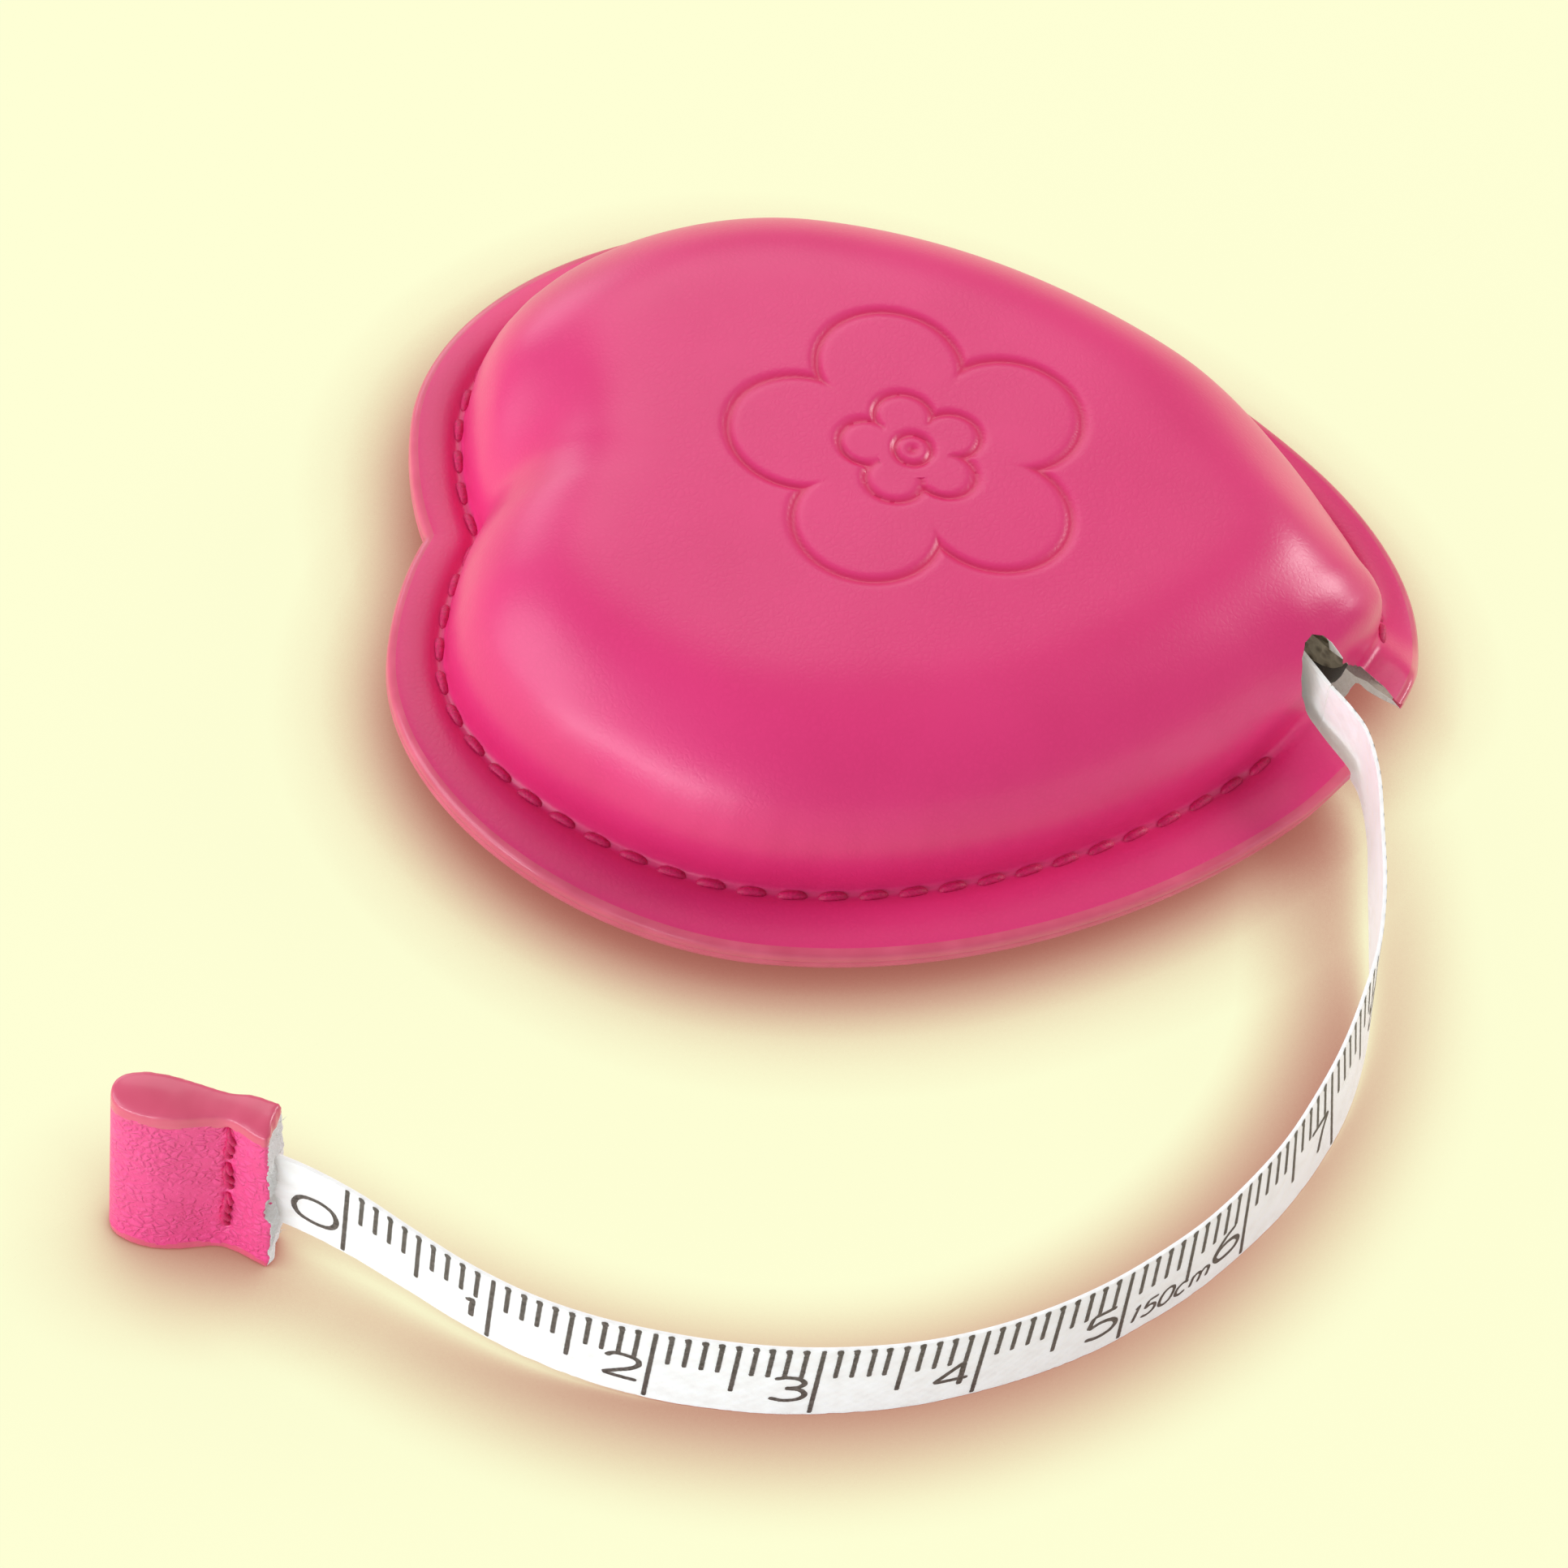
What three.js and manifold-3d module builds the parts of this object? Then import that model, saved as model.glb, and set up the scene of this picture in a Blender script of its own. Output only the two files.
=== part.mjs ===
// Retractable cloth tape measure in a padded, heart-shaped leather case.
// Millimetres, +Z up. +X runs from the notch between the lobes to the heart's tip, and the origin
// lies under the middle of the heart, on the face that it rests on.
import * as THREE from 'three';
import { mergeVertices } from 'three/addons/utils/BufferGeometryUtils.js';
import Module from 'manifold-3d';

const wasm = await Module();
wasm.setup();

// Driving sizes
const clear = 0.3; // running clearance round everything that turns, slides or is padded
const seat = 0.1; // gap between thread and the leather it is pulled down on
const overrun = 4; // how far a cutting tool runs past what it cuts

const heart = {
  length: 68,
  width: 58.6,
  height: 16.5,
  leather: 0.9,
  flange: 3.6, // from the foot of the crown to the trimmed edge
  seamZ: 4.3, // where the two panels meet
  edgeRound: 0.25,
  crownShoulder: 9.5, // how far in from its foot the crown reaches full height
  bellyShoulder: 5,
};
const crownExponent = 2.26; // above 2 the crown is squarer than a quarter ellipse
const bellyExponent = 2;
const outlineStep = 3.4; // spacing of the points round the outline

// The upper half of the outline from the tip to the notch, as cubic curves: each point is a
// share of half the length and of half the width.
const outlineShares = [
  [[1, 0], [1, 0.23], [0.84, 0.42], [0.8, 0.465]],
  [[0.8, 0.465], [0.56, 0.74], [0.17, 1], [-0.26, 1]],
  [[-0.26, 1], [-0.61, 1], [-1, 0.69], [-1, 0.31]],
  [[-1, 0.31], [-1, 0.2], [-0.98, 0.08], [-0.95, 0]],
];

const tapeThickness = 0.4;

const reel = {
  x: -3, // the reel's axis, from the middle of the heart
  drumRadius: 12.7,
  drumWall: 1.3,
  springLedge: 0.6, // step inside the drum that the spring cover rests on
  web: 0.5,
  flange: 0.6,
  rimGap: 0.6, // from the flanges' rims to the case
  packInset: 0.37, // from the flanges' rims to the wound tape
  toothCount: 24,
  toothDepth: 0.9,
};

const casing = {
  floor: 0.8,
  wall: 1.2,
  padding: 3, // the least foam between the case and the leather at the seam
  lidPadding: 2.1, // from the lid to the leather over it
  bevel: 1.2,
  floorBevel: 0.6,
  lid: 0.8,
  spigot: 0.6,
  spigotWall: 1,
  postRadius: 2.6,
  postRise: 0.7, // above the spring cover
  postSlot: 0.9,
  lift: 0.2, // the case sits this far above the leather under it
};

const spring = { thickness: 0.3, pitch: 0.86, turnCount: 8, headroom: 2.7, cover: 0.4 };

const button = {
  radius: 6.9,
  wall: 0.9,
  crown: 0.8,
  headroom: 0.4, // between the button and the leather over it
  lipReach: 1.5, // beyond the button's side
  lip: 0.5,
  skirt: 0.8, // below the lip
  travel: 1.5,
  pilotRadius: 1.3,
  pilotLength: 1.5,
  pawlRing: 0.6,
  pawlCount: 3,
};
const pawlDegrees = 20; // of the ring, for each pawl
const buttonSpring = { radius: 2.1, wire: 0.45, turnCount: 4 };

// Where the tape leaves: it runs straight from the wound pack to the mouth on this unit heading.
const headingShares = [0.6, -0.8];
const spout = { start: 7, end: 18, half: 1.9, bore: 1, boreStart: 1, sill: 0.8, boreGap: 0.5 };
const mouth = {
  back: 4.5, // from the end of the inner run to where the cut starts, inside the wall
  ahead: 8, // from there to where it ends, past the flange
  near: 0.66, // from the tape's line to the edge that the tape lies against
  far: 5.5,
  bottomZ: 1.5,
  topZ: 13.9,
  inset: 0.5, // from the foot of the crown back to the end of the inner run
};
// The mouth's outline seen along the run, from its sill up the far edge and over to the near one:
// shares of the far edge's distance, or of the near one's where they are below zero, and of the
// height from the sill to the top.
const mouthShares = [
  [1, 0], [1, 0.31], [0.64, 0.37], [0.4, 0.52], [0.2, 0.69], [0.11, 0.85], [0.05, 0.97],
  [-0.4, 1], [-1, 0.95], [-1, 0],
];

const thread = { radius: 0.3, sides: 5, inset: 0.75, mouthGap: 4 };

// The free run's middle line from the mouth to the tab, and the tape's lean in degrees from
// upright, over towards the right of the run, where the heart is. These points are the route as
// it lies.
const route = [
  [28.1, -9.8, 6.92, 0], [29.15, -11.35, 6.85, 0.5], [29.95, -14.3, 6.58, 3], [30.3, -18.5, 6.05, 4.3],
  [30.4, -22.6, 5.5, 5], [30.2, -26.6, 4.95, 8.8], [29.4, -30.4, 4.5, 12.3], [28.15, -34.1, 4.15, 13.7],
  [26.4, -37.6, 3.99, 13], [24.3, -41, 3.97, 11.1], [21.8, -44.1, 3.97, 9], [19.05, -47, 3.97, 7.4],
  [16, -49.55, 3.97, 6.1], [12.75, -51.85, 3.97, 4.9], [9.25, -53.8, 3.97, 3.6], [5.6, -55.4, 3.97, 2.7],
  [1.8, -56.65, 3.97, 2.5], [-2.1, -57.45, 3.97, 2.7], [-6.1, -57.9, 3.97, 3], [-10.1, -57.95, 4, 3],
  [-14, -57.7, 4.15, 2.5], [-18, -57.1, 4.4, 0.9], [-21.8, -56.15, 4.8, -0.7], [-25.5, -54.75, 5.3, -1.6],
  [-29, -53.1, 5.9, -1.5], [-32.6, -51.4, 6.55, -0.3], [-36.2, -50.1, 7.1, 0], [-38.6, -49.45, 7.1, 0],
  [-42.2, -49.2, 7.1, 0],
];
const routeStep = 3;

// The pull tab, folded round the end of the tape.
const tab = { length: 10.1, height: 15, thickness: 2.5, bevel: 0.4, slit: 0.3 };
const tabOpenEnd = [-37, -50.05]; // chosen with the route
// The tab's middle line from its open end, as shares of its length, and its thickness there.
const tabLineShares = [
  [0, 0], [-0.158, 0.054], [-0.327, 0.079], [-0.594, 0.084], [-0.832, 0.109], [-0.96, 0.119], [-1, 0.124],
];
const tabThicknessShares = [0.96, 0.8, 0.7, 1.08, 1.16, 0.84, 0.36];
// Each stitch's lower and upper end, as shares of the tab's height.
const stitchShares = [[0.19, 0.39], [0.47, 0.63], [0.73, 0.9]];
const stitch = { radius: 0.35, inset: 3.2, sides: 5 };

// Heights that follow from the sizes above
const floorBottom = heart.leather + casing.lift;
const floorTop = floorBottom + casing.floor;
const webBottom = floorTop + clear;
const webTop = webBottom + reel.web;
const tapeBottom = webTop + clear;
const lidTop = heart.height - heart.leather - casing.lidPadding;
const lidBottom = lidTop - casing.lid;
const flangeTop = lidBottom - casing.spigot - clear;
const flangeBottom = flangeTop - reel.flange;
const tapeTop = flangeBottom - clear;
const tapeWidth = tapeTop - tapeBottom;
const springHeight = tapeWidth - spring.headroom;
const springCoverZ = tapeBottom + springHeight + clear;
const postTop = springCoverZ + spring.cover + casing.postRise;
const lipTop = lidBottom - clear;
const lipBottom = lipTop - button.lip;
const skirtBottom = lipBottom - button.skirt;
const buttonTop = heart.height - heart.leather - button.headroom;
const buttonRoof = buttonTop - button.wall;

const axis = new THREE.Vector2(reel.x, 0);
const heading = new THREE.Vector2(...headingShares);
const offside = new THREE.Vector2(-heading.y, heading.x);

const roundSteps = 48;
const smallSteps = 18;
const pawlSteps = 9;

// Materials
function material(color, roughness, metalness = 0) {
  return new THREE.MeshStandardMaterial({ color, roughness, metalness });
}
const pinkLeather = material(0xe2477d, 0.5);
const tabLeather = material(0xe85588, 0.55);
const crimsonThread = material(0xc81e58, 0.7);
const foam = material(0xf0e6c8, 0.95);
const whiteAbs = material(0xe9e7e1, 0.45);
const greyAcetal = material(0x9fa3a6, 0.4);
const springSteel = material(0x6f7276, 0.3, 1);
const coatedTape = material(0xf0efec, 0.4);

// Solids: closed geometry in and out of boolean work
function signedVolume(geometry) {
  const index = geometry.index.array;
  const corners = geometry.attributes.position;
  const [a, b, c] = [new THREE.Vector3(), new THREE.Vector3(), new THREE.Vector3()];
  let sum = 0;
  for (let i = 0; i < index.length; i += 3) {
    a.fromBufferAttribute(corners, index[i]);
    b.fromBufferAttribute(corners, index[i + 1]);
    c.fromBufferAttribute(corners, index[i + 2]);
    sum += a.dot(b.cross(c));
  }
  return sum;
}

function closed(geometry) {
  geometry.deleteAttribute('normal');
  geometry.deleteAttribute('uv');
  const merged = mergeVertices(geometry);
  if (signedVolume(merged) < 0) {
    merged.index.array.reverse();
  }
  return merged;
}

function toSolid(geometry) {
  const ready = closed(geometry);
  return new wasm.Manifold(new wasm.Mesh({
    numProp: 3,
    vertProperties: new Float32Array(ready.attributes.position.array),
    triVerts: new Uint32Array(ready.index.array),
  }));
}

function fromSolid(solid) {
  const mesh = solid.getMesh();
  const geometry = new THREE.BufferGeometry();
  geometry.setAttribute('position', new THREE.BufferAttribute(new Float32Array(mesh.vertProperties), 3));
  geometry.setIndex(new THREE.BufferAttribute(new Uint32Array(mesh.triVerts), 1));
  return geometry;
}

// A closed skin over rings of equal count, listed from the bottom outwards and up. A ring of one
// point is a pole, and without poles the last ring joins the first.
function loft(rings) {
  const positions = [];
  const starts = [];
  for (const ring of rings) {
    starts.push(positions.length / 3);
    for (const point of ring) {
      positions.push(point.x, point.y, point.z);
    }
  }
  const count = Math.max(...rings.map((ring) => ring.length));
  const faces = [];
  for (let k = 0; k + 1 < rings.length; k += 1) {
    for (let i = 0; i < count; i += 1) {
      const next = (i + 1) % count;
      const low = rings[k].length === 1 ? [starts[k], starts[k]] : [starts[k] + i, starts[k] + next];
      const high = rings[k + 1].length === 1
        ? [starts[k + 1], starts[k + 1]]
        : [starts[k + 1] + i, starts[k + 1] + next];
      if (low[0] !== low[1]) {
        faces.push(low[0], low[1], high[1]);
      }
      if (high[0] !== high[1]) {
        faces.push(low[0], high[1], high[0]);
      }
    }
  }
  const geometry = new THREE.BufferGeometry();
  geometry.setAttribute('position', new THREE.BufferAttribute(new Float32Array(positions), 3));
  geometry.setIndex(faces);
  return geometry;
}

// A lathe about the upright axis at the reel's centre: the profile is [radius, z] and closes on
// itself or ends on the axis.
function turned(profile, steps = roundSteps) {
  const points = profile.map(([radius, z]) => new THREE.Vector2(radius, z));
  const geometry = new THREE.LatheGeometry(points, steps);
  geometry.rotateX(Math.PI / 2);
  geometry.translate(axis.x, axis.y, 0);
  return geometry;
}

function ring(inner, outer, bottom, top, steps = roundSteps) {
  return turned([[inner, bottom], [outer, bottom], [outer, top], [inner, top], [inner, bottom]], steps);
}

function disc(radius, bottom, top, steps = roundSteps) {
  return turned([[0, bottom], [radius, bottom], [radius, top], [0, top]], steps);
}

// A bar along the tape's straight run: from start to end along it, between two distances off it.
function runBar(start, end, low, high, bottom, top) {
  const geometry = new THREE.BoxGeometry(end - start, high - low, top - bottom);
  geometry.translate((start + end) / 2, (low + high) / 2, (bottom + top) / 2);
  geometry.rotateZ(Math.atan2(heading.y, heading.x));
  geometry.translate(tangentPoint.x, tangentPoint.y, 0);
  return geometry;
}

// The heart's outline and what follows it
function outlinePoints() {
  const half = [];
  for (const shares of outlineShares) {
    const corners = shares.map(([x, y]) => (
      new THREE.Vector2((x * heart.length) / 2, (y * heart.width) / 2)
    ));
    const curve = new THREE.CubicBezierCurve(...corners);
    half.push(...curve.getSpacedPoints(Math.round(curve.getLength() / outlineStep)).slice(0, -1));
  }
  const [notchX] = outlineShares.at(-1).at(-1);
  const notch = new THREE.Vector2((notchX * heart.length) / 2, 0);
  const mirrored = half.slice(1).reverse().map((point) => new THREE.Vector2(point.x, -point.y));
  return [...half, notch, ...mirrored];
}
const outline = outlinePoints();

// The outline moved in by a distance, corners kept sharp.
function insetLoop(distance) {
  return outline.map((point, i) => {
    const before = outline.at(i - 1);
    const after = outline[(i + 1) % outline.length];
    const a = point.clone().sub(before).normalize();
    const b = after.clone().sub(point).normalize();
    const normal = new THREE.Vector2(-a.y - b.y, a.x + b.x).normalize();
    const reach = distance / (normal.x * -b.y + normal.y * b.x);
    return point.clone().addScaledVector(normal, reach);
  });
}

function distanceTo(loop, point) {
  let least = Infinity;
  for (let i = 0; i < loop.length; i += 1) {
    const a = loop[i];
    const side = loop[(i + 1) % loop.length].clone().sub(a);
    const along = THREE.MathUtils.clamp(point.clone().sub(a).dot(side) / side.lengthSq(), 0, 1);
    least = Math.min(least, point.distanceTo(a.clone().addScaledVector(side, along)));
  }
  return least;
}

// How far along a line from a start point it first crosses a loop.
function crossing(loop, start, direction) {
  let least = Infinity;
  for (let i = 0; i < loop.length; i += 1) {
    const side = loop[(i + 1) % loop.length].clone().sub(loop[i]);
    const to = loop[i].clone().sub(start);
    const across = direction.cross(side);
    const along = to.cross(side) / across;
    const share = to.cross(direction) / across;
    if (along > 0 && share >= 0 && share <= 1) {
      least = Math.min(least, along);
    }
  }
  return least;
}

function level(loop, z) {
  return loop.map((point) => new THREE.Vector3(point.x, point.y, z));
}

// Radii that follow from the room inside the leather
const casingRadius = distanceTo(insetLoop(heart.flange + heart.leather), axis) - casing.padding;
const casingInner = casingRadius - casing.wall;
const rimRadius = casingInner - reel.rimGap;
const packInner = reel.drumRadius + clear;
const packRadius = rimRadius - reel.packInset;
const runOffset = packRadius + clear + tapeThickness / 2;
const drumInner = reel.drumRadius - reel.drumWall;
const springBore = drumInner - reel.springLedge;
const bore = casing.postRadius + clear;
const lipRadius = button.radius + button.lipReach;

// The straight run, from the wound tape to the mouth
const tangentPoint = axis.clone().addScaledVector(offside, runOffset);
const runLength = crossing(insetLoop(heart.flange), tangentPoint, heading) - mouth.inset;
const mouthStart = runLength - mouth.back;
const mouthEnd = runLength + mouth.ahead;

// The share of its full height that a puffed panel reaches at a share of its shoulder.
function puff(share, exponent) {
  return (1 - (1 - Math.min(share, 1)) ** exponent) ** (1 / exponent);
}

// Rings of the crown's skin from its foot to the middle. Close to the foot they are the outline
// moved in, and further in they shrink towards the reel's axis.
const bandShares = [0, 0.004, 0.02, 0.06, 0.13];
const shrinkShares = [0.95, 0.87, 0.76, 0.6];
function crownRings(inset, footZ, topZ, shoulder) {
  const foot = insetLoop(inset);
  const rings = bandShares.map((share) => (
    level(insetLoop(inset + share * shoulder), footZ + (topZ - footZ) * puff(share, crownExponent))
  ));
  const band = insetLoop(inset + bandShares.at(-1) * shoulder);
  for (const share of shrinkShares) {
    rings.push(band.map((point) => {
      const spot = axis.clone().lerp(point, share);
      const depth = distanceTo(foot, spot) / shoulder;
      return new THREE.Vector3(spot.x, spot.y, footZ + (topZ - footZ) * puff(depth, crownExponent));
    }));
  }
  rings.push([new THREE.Vector3(axis.x, axis.y, topZ)]);
  return rings;
}

// Rings of the belly's skin from the middle, flat where it rests, out to its foot at the flange.
const bellyShares = [1, 0.55, 0.25, 0.06, 0];
const bellyShrinkShares = [0.6];
function bellyRings(inset, footZ, restZ, shoulder) {
  const flat = insetLoop(inset + shoulder);
  const rings = [[new THREE.Vector3(axis.x, axis.y, restZ)]];
  for (const share of bellyShrinkShares) {
    rings.push(level(flat.map((point) => axis.clone().lerp(point, share)), restZ));
  }
  for (const share of bellyShares) {
    const z = footZ - (footZ - restZ) * puff(share, bellyExponent);
    rings.push(level(insetLoop(inset + share * shoulder), z));
  }
  return rings;
}

// Both panels' trimmed edge, from its lower corner to its upper one.
function edgeRings(bottom, top) {
  return [
    level(insetLoop(heart.edgeRound), bottom),
    level(insetLoop(0), bottom + heart.edgeRound),
    level(insetLoop(0), top - heart.edgeRound),
    level(insetLoop(heart.edgeRound), top),
  ];
}

// The mouth, as a tool that is cut from whatever it passes through.
function mouthTool(spread = 0) {
  const shape = new THREE.Shape(mouthShares.map(([share, rise]) => new THREE.Vector2(
    share > 0 ? share * mouth.far + spread : share * mouth.near - spread,
    mouth.bottomZ + rise * (mouth.topZ - mouth.bottomZ),
  )));
  const geometry = new THREE.ExtrudeGeometry(shape, {
    depth: mouthEnd - mouthStart,
    bevelEnabled: false,
  });
  const across = new THREE.Vector3(offside.x, offside.y, 0);
  const along = new THREE.Vector3(heading.x, heading.y, 0);
  const up = new THREE.Vector3(0, 0, 1);
  geometry.applyMatrix4(new THREE.Matrix4().makeBasis(across, up, along));
  geometry.translate(
    tangentPoint.x + heading.x * mouthStart,
    tangentPoint.y + heading.y * mouthStart,
    0,
  );
  return geometry;
}

function topCover() {
  const flangeTopZ = heart.seamZ + heart.leather;
  const inside = crownRings(
    heart.flange + heart.leather,
    heart.seamZ,
    heart.height - heart.leather,
    heart.crownShoulder - heart.leather / 2,
  ).reverse();
  const outside = crownRings(heart.flange, flangeTopZ, heart.height, heart.crownShoulder);
  const skin = loft([...inside, ...edgeRings(heart.seamZ, flangeTopZ), ...outside]);
  return fromSolid(toSolid(skin).subtract(toSolid(mouthTool())));
}

function bottomCover() {
  const flangeBottomZ = heart.seamZ - heart.leather;
  const outside = bellyRings(heart.flange, flangeBottomZ, 0, heart.bellyShoulder);
  const inside = bellyRings(
    heart.flange + heart.leather,
    heart.seamZ,
    heart.leather,
    heart.bellyShoulder - heart.leather / 2,
  ).reverse();
  const skin = loft([...outside, ...edgeRings(flangeBottomZ, heart.seamZ), ...inside]);
  return fromSolid(toSolid(skin).subtract(toSolid(mouthTool())));
}

// One run of seam thread round the foot of the crown, which stops short of the mouth.
function seamThread(z) {
  const middle = heart.flange - thread.inset;
  const loops = [];
  for (let i = 0; i < thread.sides; i += 1) {
    const turn = (2 * Math.PI * i) / thread.sides;
    loops.push(level(insetLoop(middle - thread.radius * Math.cos(turn)), z + thread.radius * Math.sin(turn)));
  }
  const tube = toSolid(loft([...loops, loops[0]]));
  const gap = runBar(
    spout.end,
    mouthEnd,
    -mouth.near - thread.mouthGap,
    mouth.far + thread.mouthGap,
    z - overrun,
    z + overrun,
  );
  return fromSolid(tube.subtract(toSolid(gap)));
}

// What the padding has to leave room for: the case, its spout and the tape's way out.
function paddingRoom() {
  const around = toSolid(disc(casingRadius + clear, -overrun, lidTop + clear));
  const way = toSolid(runBar(
    spout.boreStart,
    mouthEnd,
    -spout.half - clear,
    spout.half + clear,
    tapeBottom - spout.boreGap - spout.sill - clear,
    tapeTop + spout.boreGap + spout.sill + clear,
  ));
  return around.add(way);
}

function topPadding() {
  const inset = heart.flange + heart.leather + clear;
  const footZ = heart.seamZ + clear;
  const topZ = heart.height - heart.leather - clear;
  const base = [new THREE.Vector3(axis.x, axis.y, footZ)];
  const skin = loft([base, ...crownRings(inset, footZ, topZ, heart.crownShoulder - heart.leather / 2)]);
  const buttonHole = toSolid(disc(button.radius + clear, 0, heart.height));
  return fromSolid(toSolid(skin).subtract(paddingRoom()).subtract(buttonHole));
}

function bottomPadding() {
  const inset = heart.flange + heart.leather + clear;
  const topZ = heart.seamZ - clear;
  const restZ = heart.leather + clear;
  const shoulder = heart.bellyShoulder - heart.leather / 2;
  const lid = [new THREE.Vector3(axis.x, axis.y, topZ)];
  const skin = loft([...bellyRings(inset, topZ, restZ, shoulder), lid]);
  return fromSolid(toSolid(skin).subtract(paddingRoom()));
}

// The moulded case
function caseBase() {
  const shell = toSolid(turned([
    [0, floorBottom],
    [casingRadius - casing.floorBevel, floorBottom],
    [casingRadius, floorBottom + casing.floorBevel],
    [casingRadius, lidBottom],
    [0, lidBottom],
  ]));
  const sill = tapeBottom - spout.boreGap;
  const roof = tapeTop + spout.boreGap;
  const nozzle = toSolid(runBar(
    spout.start, spout.end, -spout.half, spout.half, sill - spout.sill, roof + spout.sill,
  ));
  const cavity = toSolid(disc(casingInner, floorTop, lidBottom + overrun));
  const boreCut = toSolid(runBar(spout.boreStart, spout.end + overrun, -spout.bore, spout.bore, sill, roof));
  const post = toSolid(disc(casing.postRadius, floorBottom, postTop, smallSteps));
  const slot = new THREE.BoxGeometry(casing.postRadius + overrun, casing.postSlot, postTop);
  slot.translate(axis.x + (casing.postRadius + overrun) / 2, axis.y, webBottom + postTop / 2);
  return fromSolid(shell.add(nozzle).subtract(cavity).subtract(boreCut).add(post).subtract(toSolid(slot)));
}

function caseLid() {
  const spigotOuter = casingInner - clear;
  const spigotInner = spigotOuter - casing.spigotWall;
  const hole = button.radius + clear;
  return closed(turned([
    [hole, lidBottom],
    [spigotInner, lidBottom],
    [spigotInner, lidBottom - casing.spigot],
    [spigotOuter, lidBottom - casing.spigot],
    [spigotOuter, lidBottom],
    [casingRadius, lidBottom],
    [casingRadius - casing.bevel, lidTop],
    [hole, lidTop],
    [hole, lidBottom],
  ]));
}

// The reel
function reelDrum() {
  return closed(turned([
    [bore, webBottom],
    [rimRadius, webBottom],
    [rimRadius, webTop],
    [reel.drumRadius, webTop],
    [reel.drumRadius, flangeBottom],
    [drumInner, flangeBottom],
    [drumInner, springCoverZ],
    [springBore, springCoverZ],
    [springBore, webTop],
    [bore, webTop],
    [bore, webBottom],
  ]));
}

// The upper flange, with saw teeth round the inside for the pawls.
function reelFlange() {
  const shape = new THREE.Shape();
  shape.absarc(0, 0, rimRadius, 0, 2 * Math.PI, false);
  const teeth = new THREE.Path();
  const step = (2 * Math.PI) / reel.toothCount;
  for (let i = 0; i < reel.toothCount; i += 1) {
    const root = new THREE.Vector2(drumInner, 0).rotateAround(new THREE.Vector2(), i * step);
    const tip = new THREE.Vector2(drumInner - reel.toothDepth, 0).rotateAround(new THREE.Vector2(), i * step);
    if (i === 0) {
      teeth.moveTo(root.x, root.y);
    } else {
      teeth.lineTo(root.x, root.y);
    }
    teeth.lineTo(tip.x, tip.y);
  }
  teeth.closePath();
  shape.holes.push(teeth);
  const geometry = new THREE.ExtrudeGeometry(shape, {
    depth: reel.flange,
    bevelEnabled: false,
    curveSegments: roundSteps / 2,
  });
  geometry.translate(axis.x, axis.y, flangeBottom);
  return closed(geometry);
}

function springCover() {
  return closed(ring(bore, drumInner - clear, springCoverZ, springCoverZ + spring.cover));
}

function woundTape() {
  return closed(ring(packInner, packRadius, tapeBottom, tapeTop));
}

// The mainspring: a flat strip from the slot in the post, wound out to the drum.
const springSteps = 15; // to a turn
function powerSpring() {
  const inner = casing.postRadius + 2 * clear;
  const points = [new THREE.Vector2(casing.postRadius / 2, 0)];
  for (let i = 0; i <= spring.turnCount * springSteps; i += 1) {
    const turns = i / springSteps;
    const radius = inner + spring.thickness / 2 + turns * spring.pitch;
    points.push(new THREE.Vector2(radius, 0).rotateAround(new THREE.Vector2(), 2 * Math.PI * turns));
  }
  const sideOf = (sign) => points.map((point, i) => {
    const before = points[Math.max(i - 1, 0)];
    const after = points[Math.min(i + 1, points.length - 1)];
    const normal = after.clone().sub(before).normalize().rotateAround(new THREE.Vector2(), Math.PI / 2);
    return point.clone().addScaledVector(normal, (sign * spring.thickness) / 2);
  });
  const shape = new THREE.Shape([...sideOf(-1), ...sideOf(1).reverse()]);
  const geometry = new THREE.ExtrudeGeometry(shape, { depth: springHeight, bevelEnabled: false });
  geometry.translate(axis.x, axis.y, tapeBottom);
  return closed(geometry);
}

// The release button under the leather
function releaseButton() {
  const inner = button.radius - button.wall;
  return closed(turned([
    [0, buttonRoof - button.pilotLength],
    [button.pilotRadius, buttonRoof - button.pilotLength],
    [button.pilotRadius, buttonRoof],
    [inner, buttonRoof],
    [inner, skirtBottom],
    [button.radius, skirtBottom],
    [button.radius, lipBottom],
    [lipRadius, lipBottom],
    [lipRadius, lipTop],
    [button.radius, lipTop],
    [button.radius, buttonTop - button.crown],
    [inner, buttonTop],
    [0, buttonTop],
  ], smallSteps * 2));
}

function arc(radius, from, to, steps) {
  const points = [];
  for (let i = 0; i <= steps; i += 1) {
    const turn = from + ((to - from) * i) / steps;
    points.push(new THREE.Vector2(radius, 0).rotateAround(new THREE.Vector2(), turn));
  }
  return points;
}

// The ring under the button's lip, with pawls that reach to just inside the reel's teeth.
function pawlRing() {
  const reach = drumInner - reel.toothDepth - clear;
  const half = THREE.MathUtils.degToRad(pawlDegrees) / 2;
  const points = [];
  for (let i = 0; i < button.pawlCount; i += 1) {
    const middle = (2 * Math.PI * (i + 0.5)) / button.pawlCount;
    const nextStart = middle + (2 * Math.PI) / button.pawlCount - half;
    points.push(...arc(reach, middle - half, middle + half, 2));
    points.push(...arc(lipRadius, middle + half, nextStart, pawlSteps));
  }
  const shape = new THREE.Shape(points);
  shape.holes.push(new THREE.Path(arc(button.radius + clear, 2 * Math.PI, 0, 3 * pawlSteps).slice(1)));
  const geometry = new THREE.ExtrudeGeometry(shape, { depth: button.pawlRing, bevelEnabled: false });
  geometry.translate(axis.x, axis.y, lipBottom - button.pawlRing);
  return closed(geometry);
}

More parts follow.
